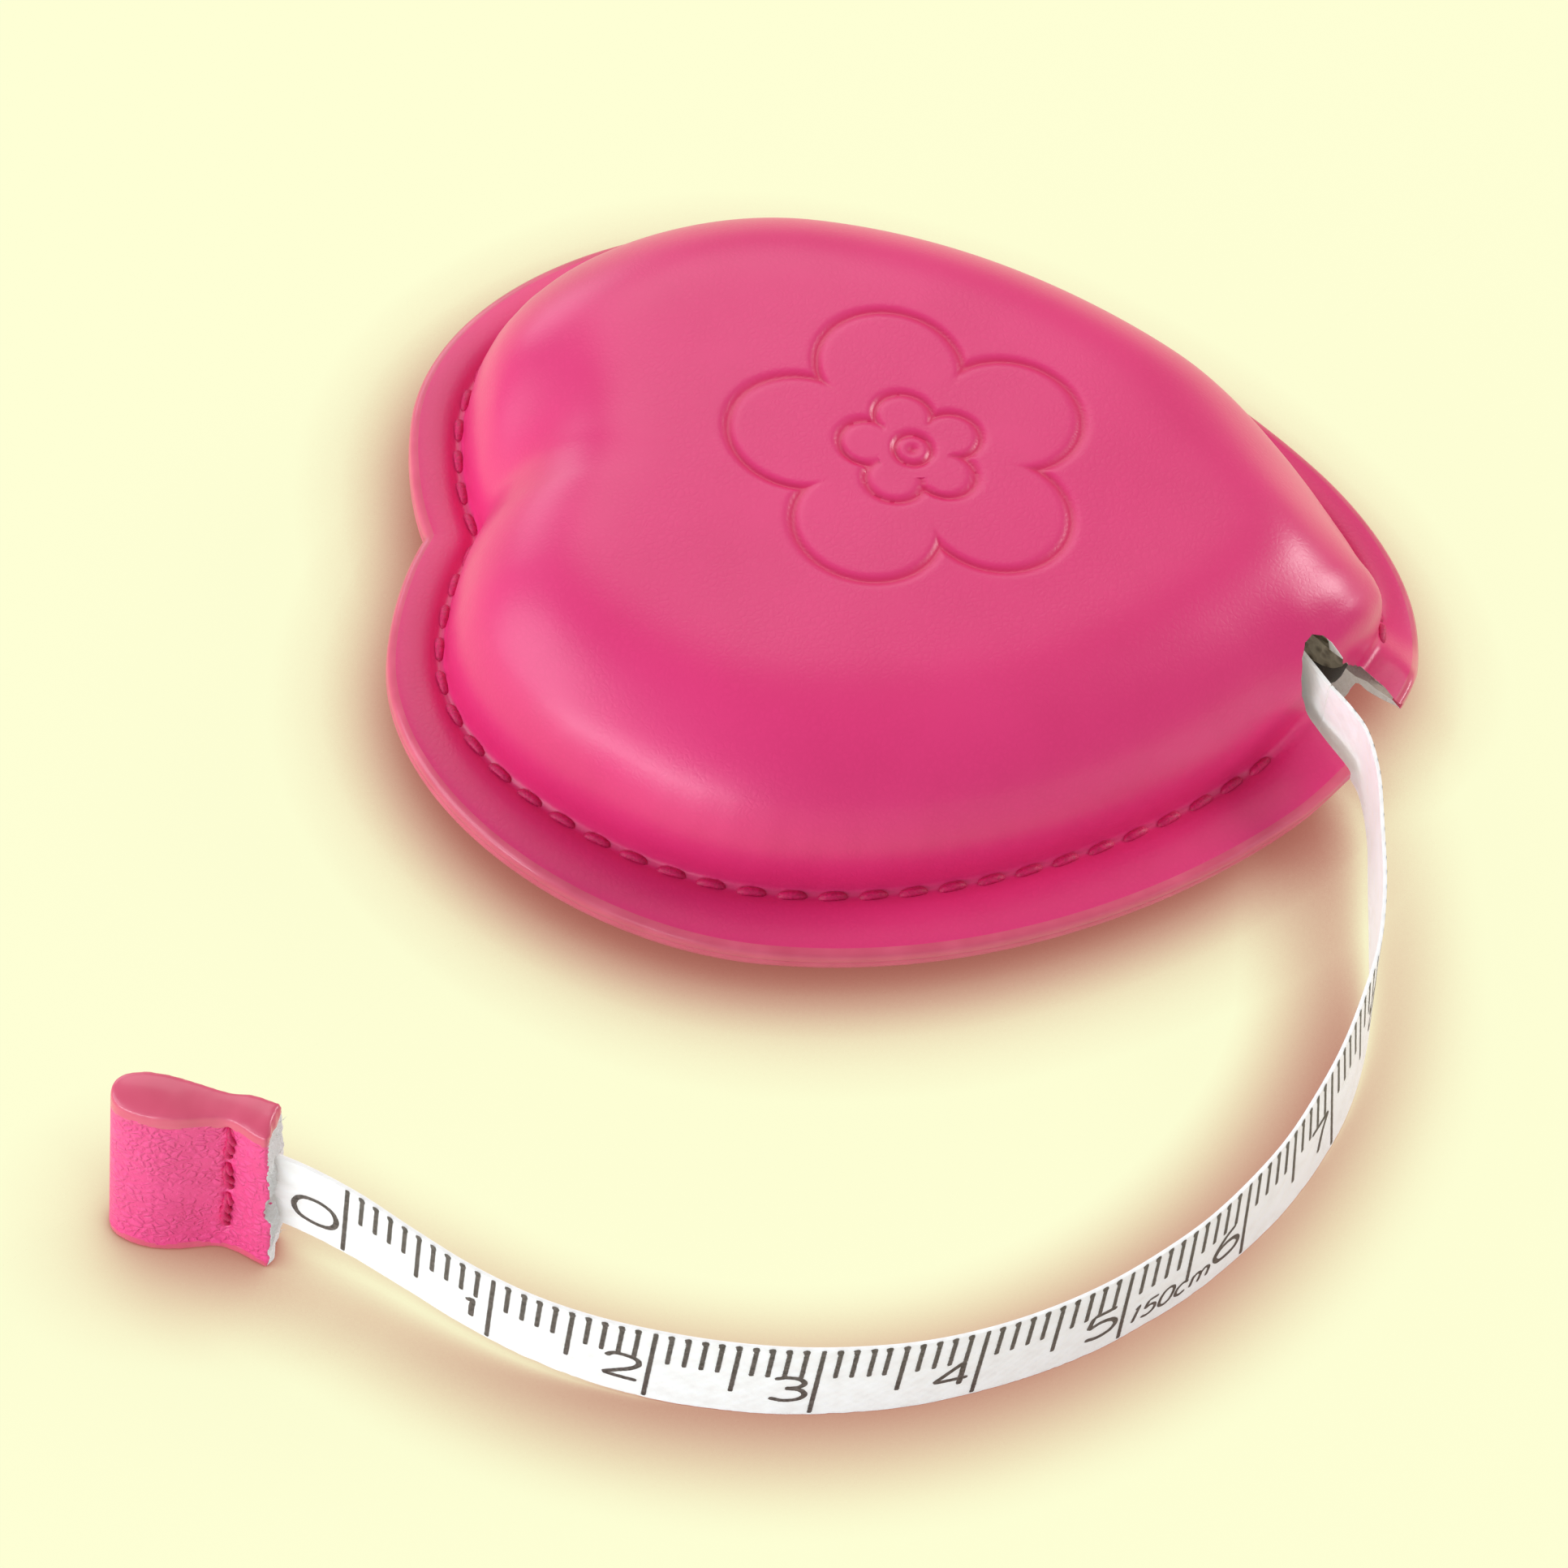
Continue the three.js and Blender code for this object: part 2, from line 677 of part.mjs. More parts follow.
const coilSteps = 10; // to a turn
const coilSides = 5;
function buttonReturnSpring() {
  const bottom = postTop + clear + buttonSpring.wire / 2;
  const top = buttonRoof - clear - buttonSpring.wire / 2;
  const rings = [];
  const count = buttonSpring.turnCount * coilSteps;
  for (let i = 0; i <= count; i += 1) {
    const turn = (2 * Math.PI * i) / coilSteps;
    const z = bottom + ((top - bottom) * i) / count;
    const out = new THREE.Vector3(Math.cos(turn), Math.sin(turn), 0);
    const loop = [];
    for (let k = 0; k < coilSides; k += 1) {
      const around = (2 * Math.PI * k) / coilSides;
      const radius = buttonSpring.radius + (buttonSpring.wire / 2) * Math.cos(around);
      loop.push(out.clone().multiplyScalar(radius).setZ(z + (buttonSpring.wire / 2) * Math.sin(around)));
    }
    rings.push(loop);
  }
  const middleOf = (loop) => loop.reduce((sum, point) => sum.add(point), new THREE.Vector3())
    .divideScalar(coilSides);
  const geometry = loft([[middleOf(rings[0])], ...rings, [middleOf(rings.at(-1))]]);
  geometry.translate(axis.x, axis.y, 0);
  return closed(geometry);
}

// The tape
function innerRun() {
  const half = tapeThickness / 2;
  return closed(runBar(clear, runLength, -half, half, tapeBottom, tapeTop));
}

// A flat strip along the route, turned by the lean at each point.
function freeTape() {
  const exit = tangentPoint.clone().addScaledVector(heading, runLength + clear);
  const points = [[exit.x, exit.y, (tapeBottom + tapeTop) / 2, 0], ...route];
  const middles = points.map(([x, y, z]) => new THREE.Vector3(x, y, z));
  const line = new THREE.CatmullRomCurve3(middles, false, 'centripetal');
  const leans = new THREE.SplineCurve(points.map(([, , , lean], i) => new THREE.Vector2(i, lean)));
  const steps = Math.round(line.getLength() / routeStep);
  const rings = [];
  for (let i = 0; i <= steps; i += 1) {
    const t = line.getUtoTmapping(i / steps);
    const middle = line.getPoint(t);
    const along = line.getTangent(t).setZ(0).normalize();
    const inward = new THREE.Vector3(along.y, -along.x, 0);
    const lean = THREE.MathUtils.degToRad(leans.getPoint(t).y);
    const up = new THREE.Vector3(0, 0, Math.cos(lean)).addScaledVector(inward, Math.sin(lean));
    const face = inward.clone().multiplyScalar(Math.cos(lean)).setZ(-Math.sin(lean));
    const corner = (across, height) => middle.clone()
      .addScaledVector(face, (across * tapeThickness) / 2)
      .addScaledVector(up, (height * tapeWidth) / 2);
    rings.push([corner(-1, -1), corner(1, -1), corner(1, 1), corner(-1, 1)]);
  }
  const middleOf = (loop) => loop[0].clone().add(loop[2]).divideScalar(2);
  return closed(loft([[middleOf(rings[0])], ...rings, [middleOf(rings.at(-1))]]));
}

// The tab: an upright pad that follows its own middle line, open at one end for the tape.
function tabSide(sign) {
  const line = tabLineShares.map(([x, y]) => (
    new THREE.Vector2(x, y).multiplyScalar(tab.length).add(new THREE.Vector2(...tabOpenEnd))
  ));
  return line.map((point, i) => {
    const before = line[Math.max(i - 1, 0)];
    const after = line[Math.min(i + 1, line.length - 1)];
    const along = after.clone().sub(before).normalize();
    const half = (tabThicknessShares[i] * tab.thickness) / 2;
    return new THREE.Vector2(point.x - along.y * half * sign, point.y + along.x * half * sign);
  });
}

function pullTab() {
  const shape = new THREE.Shape([...tabSide(-1), ...tabSide(1).reverse()]);
  const geometry = new THREE.ExtrudeGeometry(shape, {
    depth: tab.height - 2 * tab.bevel,
    bevelThickness: tab.bevel,
    bevelSize: tab.bevel,
    bevelOffset: -tab.bevel,
    bevelSegments: 2,
  });
  geometry.translate(0, 0, tab.bevel);
  const [, , middleZ] = route.at(-1);
  const half = tapeWidth / 2 + tab.slit;
  const pocketHalf = tapeThickness / 2 + tab.slit;
  const pocketLine = route.slice(-3).map(([x, y]) => new THREE.Vector2(x, y));
  const first = pocketLine[0].clone().sub(pocketLine[1]).setLength(overrun / 2).add(pocketLine[0]);
  const last = pocketLine[2].clone().sub(pocketLine[1]).setLength(tab.slit).add(pocketLine[2]);
  const line = [first, pocketLine[0], pocketLine[1], pocketLine[2], last];
  const side = (sign) => line.map((point, i) => {
    const along = line[Math.min(i + 1, line.length - 1)].clone().sub(line[Math.max(i - 1, 0)]).normalize();
    return new THREE.Vector2(point.x - along.y * pocketHalf * sign, point.y + along.x * pocketHalf * sign);
  });
  const pocket = new THREE.ExtrudeGeometry(new THREE.Shape([...side(-1), ...side(1).reverse()]), {
    depth: 2 * half,
    bevelEnabled: false,
  });
  pocket.translate(0, 0, middleZ - half);
  return fromSolid(toSolid(geometry).subtract(toSolid(pocket)));
}

// A stitch stands on one face of the tab, at its inset from the open end.
function tabStitch(low, high, sign) {
  const points = tabSide(sign).map((point) => new THREE.Vector3(point.x, point.y, 0));
  const face = new THREE.CatmullRomCurve3(points);
  const share = stitch.inset / face.getLength();
  const foot = face.getPointAt(share);
  const along = face.getTangentAt(share);
  const out = new THREE.Vector3(-along.y, along.x, 0).multiplyScalar(sign * (stitch.radius + seat));
  const length = (high - low) * tab.height - 2 * stitch.radius;
  const geometry = new THREE.CapsuleGeometry(stitch.radius, length, 3, stitch.sides);
  geometry.rotateX(Math.PI / 2);
  geometry.translate(foot.x + out.x, foot.y + out.y, ((low + high) / 2) * tab.height);
  return closed(geometry);
}

// The assembly: each body's pieces in a group of their own
function piece(name, geometry, finish) {
  const mesh = new THREE.Mesh(geometry, finish);
  mesh.name = name;
  return mesh;
}

const housing = new THREE.Group();
housing.add(
  piece('top_cover', topCover(), pinkLeather),
  piece('bottom_cover', bottomCover(), pinkLeather),
  piece('needle_thread', seamThread(heart.seamZ + heart.leather + seat + thread.radius), crimsonThread),
  piece('bobbin_thread', seamThread(heart.seamZ - heart.leather - seat - thread.radius), crimsonThread),
  piece('top_padding', topPadding(), foam),
  piece('bottom_padding', bottomPadding(), foam),
  piece('case_base', caseBase(), whiteAbs),
  piece('case_lid', caseLid(), whiteAbs),
  piece('power_spring', powerSpring(), springSteel),
  piece('button_spring', buttonReturnSpring(), springSteel),
);

const windingReel = new THREE.Group();
windingReel.add(
  piece('reel_drum', reelDrum(), greyAcetal),
  piece('reel_flange', reelFlange(), greyAcetal),
  piece('spring_cover', springCover(), greyAcetal),
  piece('wound_tape', woundTape(), coatedTape),
);

const release = new THREE.Group();
release.add(
  piece('release_button', releaseButton(), whiteAbs),
  piece('pawl_ring', pawlRing(), greyAcetal),
);

const pulledTape = new THREE.Group();
pulledTape.add(
  piece('inner_run', innerRun(), coatedTape),
  piece('free_tape', freeTape(), coatedTape),
  piece('pull_tab', pullTab(), tabLeather),
);
for (const [side, sign] of [['front', 1], ['back', -1]]) {
  stitchShares.forEach(([low, high], i) => {
    pulledTape.add(piece(`tab_stitch_${side}_${i + 1}`, tabStitch(low, high, sign), crimsonThread));
  });
}

const tapeMeasure = new THREE.Group();
tapeMeasure.add(housing, windingReel, release, pulledTape);

export default tapeMeasure;
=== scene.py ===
import math
from contextlib import contextmanager

import bpy
import numpy as np
from mathutils import Matrix, Vector, noise


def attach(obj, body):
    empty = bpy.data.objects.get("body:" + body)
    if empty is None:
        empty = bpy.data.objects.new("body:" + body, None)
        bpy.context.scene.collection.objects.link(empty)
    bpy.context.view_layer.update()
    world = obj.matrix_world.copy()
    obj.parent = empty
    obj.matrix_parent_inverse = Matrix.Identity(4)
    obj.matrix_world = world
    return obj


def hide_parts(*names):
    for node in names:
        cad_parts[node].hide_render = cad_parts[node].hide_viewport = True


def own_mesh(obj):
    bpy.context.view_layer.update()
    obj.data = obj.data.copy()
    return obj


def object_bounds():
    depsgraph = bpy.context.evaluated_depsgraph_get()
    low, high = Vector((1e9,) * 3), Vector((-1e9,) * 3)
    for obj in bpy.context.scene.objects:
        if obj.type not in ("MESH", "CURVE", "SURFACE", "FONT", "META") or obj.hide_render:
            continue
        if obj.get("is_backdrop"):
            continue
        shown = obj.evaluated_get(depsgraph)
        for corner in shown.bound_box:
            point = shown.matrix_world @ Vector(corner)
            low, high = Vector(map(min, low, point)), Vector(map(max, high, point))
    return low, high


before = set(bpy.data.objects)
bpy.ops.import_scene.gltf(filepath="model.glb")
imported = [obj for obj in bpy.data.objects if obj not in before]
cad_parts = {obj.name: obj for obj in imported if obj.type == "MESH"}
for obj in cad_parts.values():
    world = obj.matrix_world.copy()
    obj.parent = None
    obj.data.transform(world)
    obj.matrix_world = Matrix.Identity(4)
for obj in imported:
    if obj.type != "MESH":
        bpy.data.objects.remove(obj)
cad_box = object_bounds()

# A spring-return cloth tape measure in a padded, heart-shaped case of pink leather. Everything is
# in metres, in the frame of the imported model: +X from the notch to the tip, +Z up.
MM = 0.001


# ---- The photograph's camera ----

def place_camera():
    """Looks down on the case from in front of its long side, rolled as the photograph is."""
    azimuth, elevation, roll = -8.48529, 56.45128, 12.7722
    aim, distance = Vector((-7.491, -13.228, 0)) * MM, 299.827 * MM
    bpy.ops.object.camera_add()
    camera = bpy.context.object
    camera.matrix_world = Matrix.Translation(aim)
    for angle, axis in ((azimuth, "Z"), (90 - elevation, "X"), (roll, "Z")):
        camera.matrix_world @= Matrix.Rotation(math.radians(angle), 4, axis)
    camera.matrix_world @= Matrix.Translation((0, 0, distance))
    camera.data.lens = 105.48
    camera.data.sensor_width = 36
    camera.data.clip_start = 0.01
    bpy.context.scene.camera = camera


place_camera()


# ---- Ways of making a mesh ----

def select_only(*objects):
    """Leaves edit mode, and selects these objects and nothing else."""
    if bpy.context.mode != "OBJECT":
        bpy.ops.object.mode_set(mode="OBJECT")
    bpy.ops.object.select_all(action="DESELECT")
    for obj in objects:
        obj.select_set(True)
        bpy.context.view_layer.objects.active = objects[0]


@contextmanager
def editing(obj):
    """Edit mode on one mesh, with all of it selected."""
    select_only(obj)
    bpy.ops.object.mode_set(mode="EDIT")
    bpy.ops.mesh.select_all(action="SELECT")
    yield
    bpy.ops.object.mode_set(mode="OBJECT")


def tidy_mesh(obj, merge=0.0008 * MM):
    """Closes seams and poles, and turns every face outwards."""
    with editing(obj):
        bpy.ops.mesh.remove_doubles(threshold=merge)
        bpy.ops.mesh.dissolve_degenerate(threshold=merge / 4)
        bpy.ops.mesh.normals_make_consistent(inside=False)


def capped(rings):
    """Rings with a pole at each end, which is a ring of one repeated point."""
    rings = np.asarray(rings, float)
    poles = rings[[0, -1]].mean(axis=1, keepdims=True).repeat(rings.shape[1], axis=1)
    return np.concatenate([poles[:1], rings, poles[1:]])


def primitive(operator, **settings):
    """A new primitive, with nothing else selected."""
    select_only()
    operator(**settings)
    return bpy.context.object


def wrap_grid(name, rings, closed=True):
    """A flat grid wrapped on to rings of points, each as long as the others: a lofted skin."""
    rings = np.asarray(rings, float)
    if closed:
        rings = np.concatenate([rings, rings[:, :1]], axis=1)
    rows, columns = rings.shape[:2]
    across = {"x_subdivisions": columns - 1, "y_subdivisions": rows - 1}
    obj = primitive(bpy.ops.mesh.primitive_grid_add, size=1, **across)
    obj.name = obj.data.name = name
    obj.data.vertices.foreach_set("co", rings.reshape(-1).astype(np.float32))
    obj.data.update()
    return obj


def point_values(obj, **values):
    """Keeps numbers for every point of the mesh, for its material to read."""
    for name, numbers in values.items():
        made = obj.data.attributes.new(name, "FLOAT", "POINT")
        made.data.foreach_set("value", np.asarray(numbers, np.float32).reshape(-1))


def modify(obj, kind, **settings):
    select_only(obj)
    modifier = obj.modifiers.new(kind.title(), kind)
    for key, value in settings.items():
        setattr(modifier, key, value)
    bpy.ops.object.modifier_apply(modifier=modifier.name)


def cut(obj, tool, operation="DIFFERENCE"):
    """Takes the tool out of a piece, or adds it, and the faces that it leaves keep its finish."""
    settings = {"operation": operation, "solver": "EXACT", "material_mode": "TRANSFER"}
    modify(obj, "BOOLEAN", object=tool, **settings)
    bpy.data.objects.remove(tool, do_unlink=True)


def smooth(obj, angle=60):
    select_only(obj)
    bpy.ops.object.shade_smooth_by_angle(angle=math.radians(angle))


def settle(obj):
    """Puts a made piece's place into its mesh."""
    select_only(obj)
    bpy.ops.object.transform_apply(location=True, rotation=True, scale=True)


def cover_with(obj, *materials):
    obj.data.materials.clear()
    for material in materials:
        obj.data.materials.append(material)


def join(name, objects, material):
    select_only(*objects)
    bpy.ops.object.join()
    joined = bpy.context.object
    joined.name = joined.data.name = name
    cover_with(joined, material)
    return joined


def wear(obj, body, slot, *nodes):
    """The piece rides on its body and stands for its CAD nodes, which it hides. The slot is not
    used.
    """
    if nodes:
        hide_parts(*nodes)
    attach(obj, body)


# ---- Colours and materials ----

def linear(colour):
    """An sRGB hex colour as Blender's linear numbers."""
    parts = [int(colour[i:i + 2], 16) / 255 for i in (0, 2, 4)]
    return [c / 12.92 if c <= 0.04045 else ((c + 0.055) / 1.055) ** 2.4 for c in parts] + [1.0]


def connect(tree, socket, value):
    """Feeds a socket from a node's output, or sets it to a plain value."""
    if isinstance(value, bpy.types.NodeSocket):
        tree.links.new(value, socket)
    else:
        socket.default_value = value


def add_node(tree, kind, inputs=None, out=0, stops=(), **settings):
    """Adds a node with its settings, its links and a ramp's hex colours, and gives an output."""
    node = tree.nodes.new("ShaderNode" + kind)
    for key, value in settings.items():
        setattr(node, key, value)
    for socket, value in (inputs or {}).items():
        connect(tree, node.inputs[socket], value)
    if stops:
        ramp = node.color_ramp.elements
        while len(ramp) < len(stops):
            ramp.new(0.5)
        for element, (place, colour) in zip(ramp, stops):
            element.position, element.color = place, linear(colour)
    return node.outputs[out]


def every(mm):
    """The scale at which a texture repeats once in so many millimetres of object space."""
    return 1000 / mm


def start_material(name):
    material = bpy.data.materials.new(name)
    material.use_nodes = True
    return material, material.node_tree


def dress(material, tint, stops, relief=None, shine=None, mark=None, **shader):
    """Sets the Principled shader: hex colours along a tint, a relief and its depth in millimetres,
    a shine and its lowest and highest roughness, a mark of its own colour, and plain values."""
    tree = material.node_tree
    colour = add_node(tree, "ValToRGB", {"Fac": tint}, stops=stops)
    if mark:
        share, marked = mark
        # A Mix node's colours are its seventh and eighth inputs and its third output
        inputs = {0: share, 6: colour, 7: linear(marked)}
        colour = add_node(tree, "Mix", inputs, out=2, data_type="RGBA")
    shader["Base_Color"] = colour
    if shine:
        varied, low, high = shine
        inputs = {"Value": varied, "To Min": low, "To Max": high}
        shader["Roughness"] = add_node(tree, "MapRange", inputs)
    if relief:
        height, depth = relief
        inputs = {"Height": height, "Strength": 1.0, "Distance": depth * MM}
        shader["Normal"] = add_node(tree, "Bump", inputs)
    for key, value in shader.items():
        connect(tree, tree.nodes["Principled BSDF"].inputs[key.replace("_", " ")], value)
    return material


def leather(name, light, dark, cell, depth, crease_shade_share, roughness, coat, pressed=None):
    """Nappa leather: calfskin dyed through, sprayed with a satin finish. Its grain is fine pebbles
    parted by creases, which break up the highlight and darken the colour a touch: painted shade."""
    material, tree = start_material(name)
    place = add_node(tree, "TexCoord", out="Object")

    def grain(size, detail=3.0, out="Fac"):
        inputs = {"Vector": place, "Scale": every(size), "Detail": detail}
        return add_node(tree, "TexNoise", inputs, out)

    wander = grain(cell * 1.7, out="Color")
    shift = add_node(tree, "VectorMath", {0: wander, 1: (0.5, 0.5, 0.5)}, operation="SUBTRACT")
    bent = {0: shift, 1: (cell * 1.5 * MM,) * 3, 2: place}
    bent = add_node(tree, "VectorMath", bent, operation="MULTIPLY_ADD")
    pebbles = {"Vector": bent, "Scale": every(cell)}
    pebbles = add_node(tree, "TexVoronoi", pebbles, feature="DISTANCE_TO_EDGE")
    crease = {"Value": pebbles, "From Max": 0.3}
    crease = add_node(tree, "MapRange", crease, interpolation_type="SMOOTHSTEP")
    # Creases come and go, as they do over a real hide
    worn = {"Value": grain(2.6, 2.0), "From Min": 0.46, "From Max": 0.9}
    worn = add_node(tree, "MapRange", worn)
    crease = add_node(tree, "Math", {0: crease, 1: worn}, operation="MAXIMUM")
    pores = grain(cell * 0.5)
    height = add_node(tree, "Math", {0: pores, 1: 0.5, 2: crease}, operation="MULTIPLY_ADD")
    # Painted shade: the creases darken the colour, over a slow random tone
    tone_and_crease_shade = {0: crease, 1: crease_shade_share, 2: grain(11)}
    tone_and_crease_shade = add_node(tree, "Math", tone_and_crease_shade, operation="MULTIPLY_ADD")
    mark = None
    if pressed:
        mark = add_node(tree, "Attribute", out="Fac", attribute_name="pressed"), pressed
    return dress(
        material, tone_and_crease_shade, ((0.25, dark), (0.6 + crease_shade_share, light)), (height, depth),
        (pores, roughness - 0.05, roughness + 0.07), mark, IOR=1.5, Coat_Weight=coat,
        Coat_Roughness=0.34,
    )


def surface(
    name, size, detail, stops, depth=0, shine=None, kind="TexNoise", stretch=None, tint_size=None,
    texture=(), **shader
):
    """A finish whose tint, relief and shine all follow one texture of this size in millimetres,
    but for a tint that drifts over a greater size."""
    material, tree = start_material(name)
    place = add_node(tree, "TexCoord", out="Object")
    if stretch:
        place = add_node(tree, "Mapping", {"Vector": place, "Scale": stretch})
    inputs = {"Vector": place, "Scale": every(size), "Detail": detail, **dict(texture)}
    pattern = add_node(tree, kind, inputs, out="Distance" if kind == "TexVoronoi" else "Fac")
    tint = pattern
    if tint_size:
        tint = {"Vector": place, "Scale": every(tint_size), "Detail": 2.0}
        tint = add_node(tree, "TexNoise", tint)
    relief = (pattern, depth) if depth else None
    return dress(material, tint, stops, relief, shine and (pattern, *shine), **shader)


def fibrous(name, light, dark, strand, depth):
    """Raw cut leather or its flesh side: short matted fibres with no finish on them."""
    return surface(
        name, strand, 5.0, ((0.32, dark), (0.62, light)), depth, IOR=1.45, Roughness=0.9,
        texture={"Roughness": 0.7, "Distortion": 1.2}, Sheen_Weight=0.6, Sheen_Roughness=0.6,
    )


def moulded(name, colour, shade, roughness):
    """Injection-moulded plastic with a fine spark-eroded texture from the mould."""
    return surface(
        name, 0.35, 4.0, ((0.3, shade), (0.7, colour)), 0.02, (roughness - 0.06, roughness + 0.08),
        tint_size=14, IOR=1.53,
    )


def coated_cloth():
    """Measuring tape: plain-woven glass cloth dipped in white vinyl. The weave just shows through
    the coating, which is satin and has a faint warm cast in its hollows. The vinyl also glows
    faintly, a painted light that brightens the tape where the lamps leave it dim."""
    material, tree = start_material("vinyl_coated_glass_cloth")
    along, across = (
        add_node(tree, "Attribute", out="Fac", attribute_name=name) for name in ("along", "across")
    )
    flat = add_node(tree, "CombineXYZ", {"X": along, "Y": across})
    # 28 threads to the inch each way
    weave = [
        add_node(tree, "Math", {0: way, 1: 2 * math.pi / 0.9}, operation="MULTIPLY")
        for way in (along, across)
    ]
    weave = [add_node(tree, "Math", {0: wave}, operation="SINE") for wave in weave]
    weave = add_node(tree, "Math", dict(enumerate(weave)), operation="MULTIPLY")
    ripple = add_node(tree, "TexNoise", {"Vector": flat, "Scale": 0.8, "Detail": 3.0})
    grit = add_node(tree, "TexNoise", {"Vector": flat, "Scale": 9.0, "Detail": 2.0})
    height = add_node(tree, "Math", {0: weave, 1: 0.12, 2: ripple}, operation="MULTIPLY_ADD")
    return dress(
        material, ripple, ((0.3, "ebe9e6"), (0.65, "f6f5f3")), (height, 0.06), (grit, 0.32, 0.5),
        IOR=1.53, Subsurface_Weight=0.5, Subsurface_Radius=(1.0, 1.0, 1.0),
        Subsurface_Scale=0.3 * MM, Coat_Weight=0.1, Coat_Roughness=0.3,
        # Painted light: the whole tape glows faintly warm, which brightens it where the lamps leave
        # it dim
        Emission_Color=linear("fffaf4"), Emission_Strength=0.12,
    )


case_leather = leather(
    "smooth_nappa_leather", "e72f77", "de296f", 0.42, 0.005, 0.1, 0.38, 0.32, pressed="da105a",
)
tab_leather = leather("pebbled_nappa_leather", "f5478e", "e7397e", 0.6, 0.07, 0.5, 0.44, 0.15)
# Edge paint on bonded leather: a thick acrylic lacquer, smooth, satin and more coral than the hide
edge_paint = surface(
    "acrylic_edge_paint", 2.5, 2.0, ((0.3, "d84c6c"), (0.7, "e45a79")), 0.09, (0.34, 0.5),
    IOR=1.49, Coat_Weight=0.5, Coat_Roughness=0.18,
)
# The flesh side's fibres are its own, but their dark grey-brown is painted shade for the dim inside
# of the case
flesh_side_painted_dark = fibrous("leather_flesh_side", "75655c", "66574e", 0.5, 0.04)
cut_edge = fibrous("cut_leather_edge", "fff8ee", "efe4d6", 0.35, 0.07)
raw_white = fibrous("raw_split_edge", "fffdfa", "e6dfd6", 0.24, 0.1)
# Bonded polyester: its fibres have a soft sheen, and are darker where they lie against each other
thread = surface(
    "bonded_polyester_thread", 0.16, 3.0, ((0.3, "ba004e"), (0.7, "de0a66")), 0.04,
    texture={"Distortion": 0.6}, IOR=1.5, Roughness=0.5, Sheen_Weight=0.05,
)
vinyl = coated_cloth()
# Screen-printed black ink: thin enough on the vinyl for a grey-brown cast and small skips
ink = surface(
    "screen_printing_ink", 0.22, 2.0, ((0.35, "393331"), (0.72, "6d6460")), IOR=1.5, Roughness=0.5,
)
white_abs = moulded("moulded_abs", "e9e7e1", "dedbd3", 0.42)
grey_acetal = moulded("moulded_acetal", "a6aaad", "979b9f", 0.36)
# Hardened and rolled spring steel: grey-blue, drawn lengthwise, with a thin film of oil
steel = surface(
    "rolled_spring_steel", 1.2, 4.0, ((0.3, "6b7078"), (0.7, "9a9fa6")), 0.01, (0.2, 0.42),
    stretch=(1, 1, 14), Metallic=1.0, Coat_Weight=0.15, Coat_Roughness=0.2,
)
# Open-cell polyurethane foam: skinned nowhere, so its cells show as small pits, their colour
# darkened with painted shade
foam = surface(
    "open_cell_foam", 0.7, 0, ((0.1, "9b8f78"), (0.55, "e6dcc2")), 0.25, kind="TexVoronoi",
    IOR=1.4, Roughness=0.95,
)


# ---- The heart's outline ----

LENGTH, WIDTH, HEIGHT = 68 * MM, 58.6 * MM, 16.5 * MM
FLANGE, HIDE = 3.6 * MM, 0.9 * MM
SEAM_Z = 4.3 * MM
SHOULDER, BELLY = 9.5 * MM, 5 * MM
AXIS = np.array([-3.0, 0.0]) * MM
PITCH = 2.6 * MM  # from stitch to stitch
SEAM_INSET = FLANGE - 0.38 * MM
# How far in the edge paint goes, outside and between the plies
PAINT_REACH, PLY_REACH = 0.55 * MM, 1.1 * MM

# The upper half from the tip to the notch, in shares of half the length and half the width
CURVES = [
    [(1, 0), (1, 0.23), (0.84, 0.42), (0.8, 0.465)],
    [(0.8, 0.465), (0.56, 0.74), (0.17, 1), (-0.26, 1)],
    [(-0.26, 1), (-0.61, 1), (-1, 0.69), (-1, 0.31)],
    [(-1, 0.31), (-1, 0.2), (-0.98, 0.08), (-0.95, 0)],
]


def upper_outline():
    t = np.linspace(0, 1, 400)[:, None]
    pieces = []
    for a, b, c, d in np.array(CURVES, float):
        rest = 1 - t
        curve = a * rest ** 3 + 3 * b * t * rest ** 2 + 3 * c * t ** 2 * rest + d * t ** 3
        pieces.append(curve[:-1])
    line = np.concatenate(pieces + [np.array([[-0.95, 0.0]])])
    return line * (LENGTH / 2, WIDTH / 2)


UPPER = upper_outline()


def lengths_along(line):
    """How far along a line each of its points lies."""
    return np.r_[0, np.cumsum(np.linalg.norm(np.diff(line, axis=0), axis=1))]


def spaced(line, count, measured=None):
    """The line again, with its points evenly spaced by their first few numbers."""
    steps = lengths_along(line[:, :measured])
    at = np.linspace(0, steps[-1], count)
    return np.stack([np.interp(at, steps, column) for column in line.T], axis=1)


def headings(line, loop=False):
    """The way ahead and the way to the left at each point of a flat line."""
    ahead = np.gradient(line, axis=0)
    if loop:
        ahead[0] = ahead[-1] = line[1] - line[-2]
    ahead /= np.linalg.norm(ahead, axis=1)[:, None]
    return ahead, np.stack([-ahead[:, 1], ahead[:, 0]], axis=1)


def ease(share):
    share = np.clip(share, 0, 1)
    return share * share * (3 - 2 * share)


def round_axis(points):
    """Degrees round the reel's axis: 0 at the notch, 90 on the near side and 180 at the tip."""
    off = points - AXIS
    return (np.degrees(np.arctan2(off[..., 1], off[..., 0])) + 180) % 360


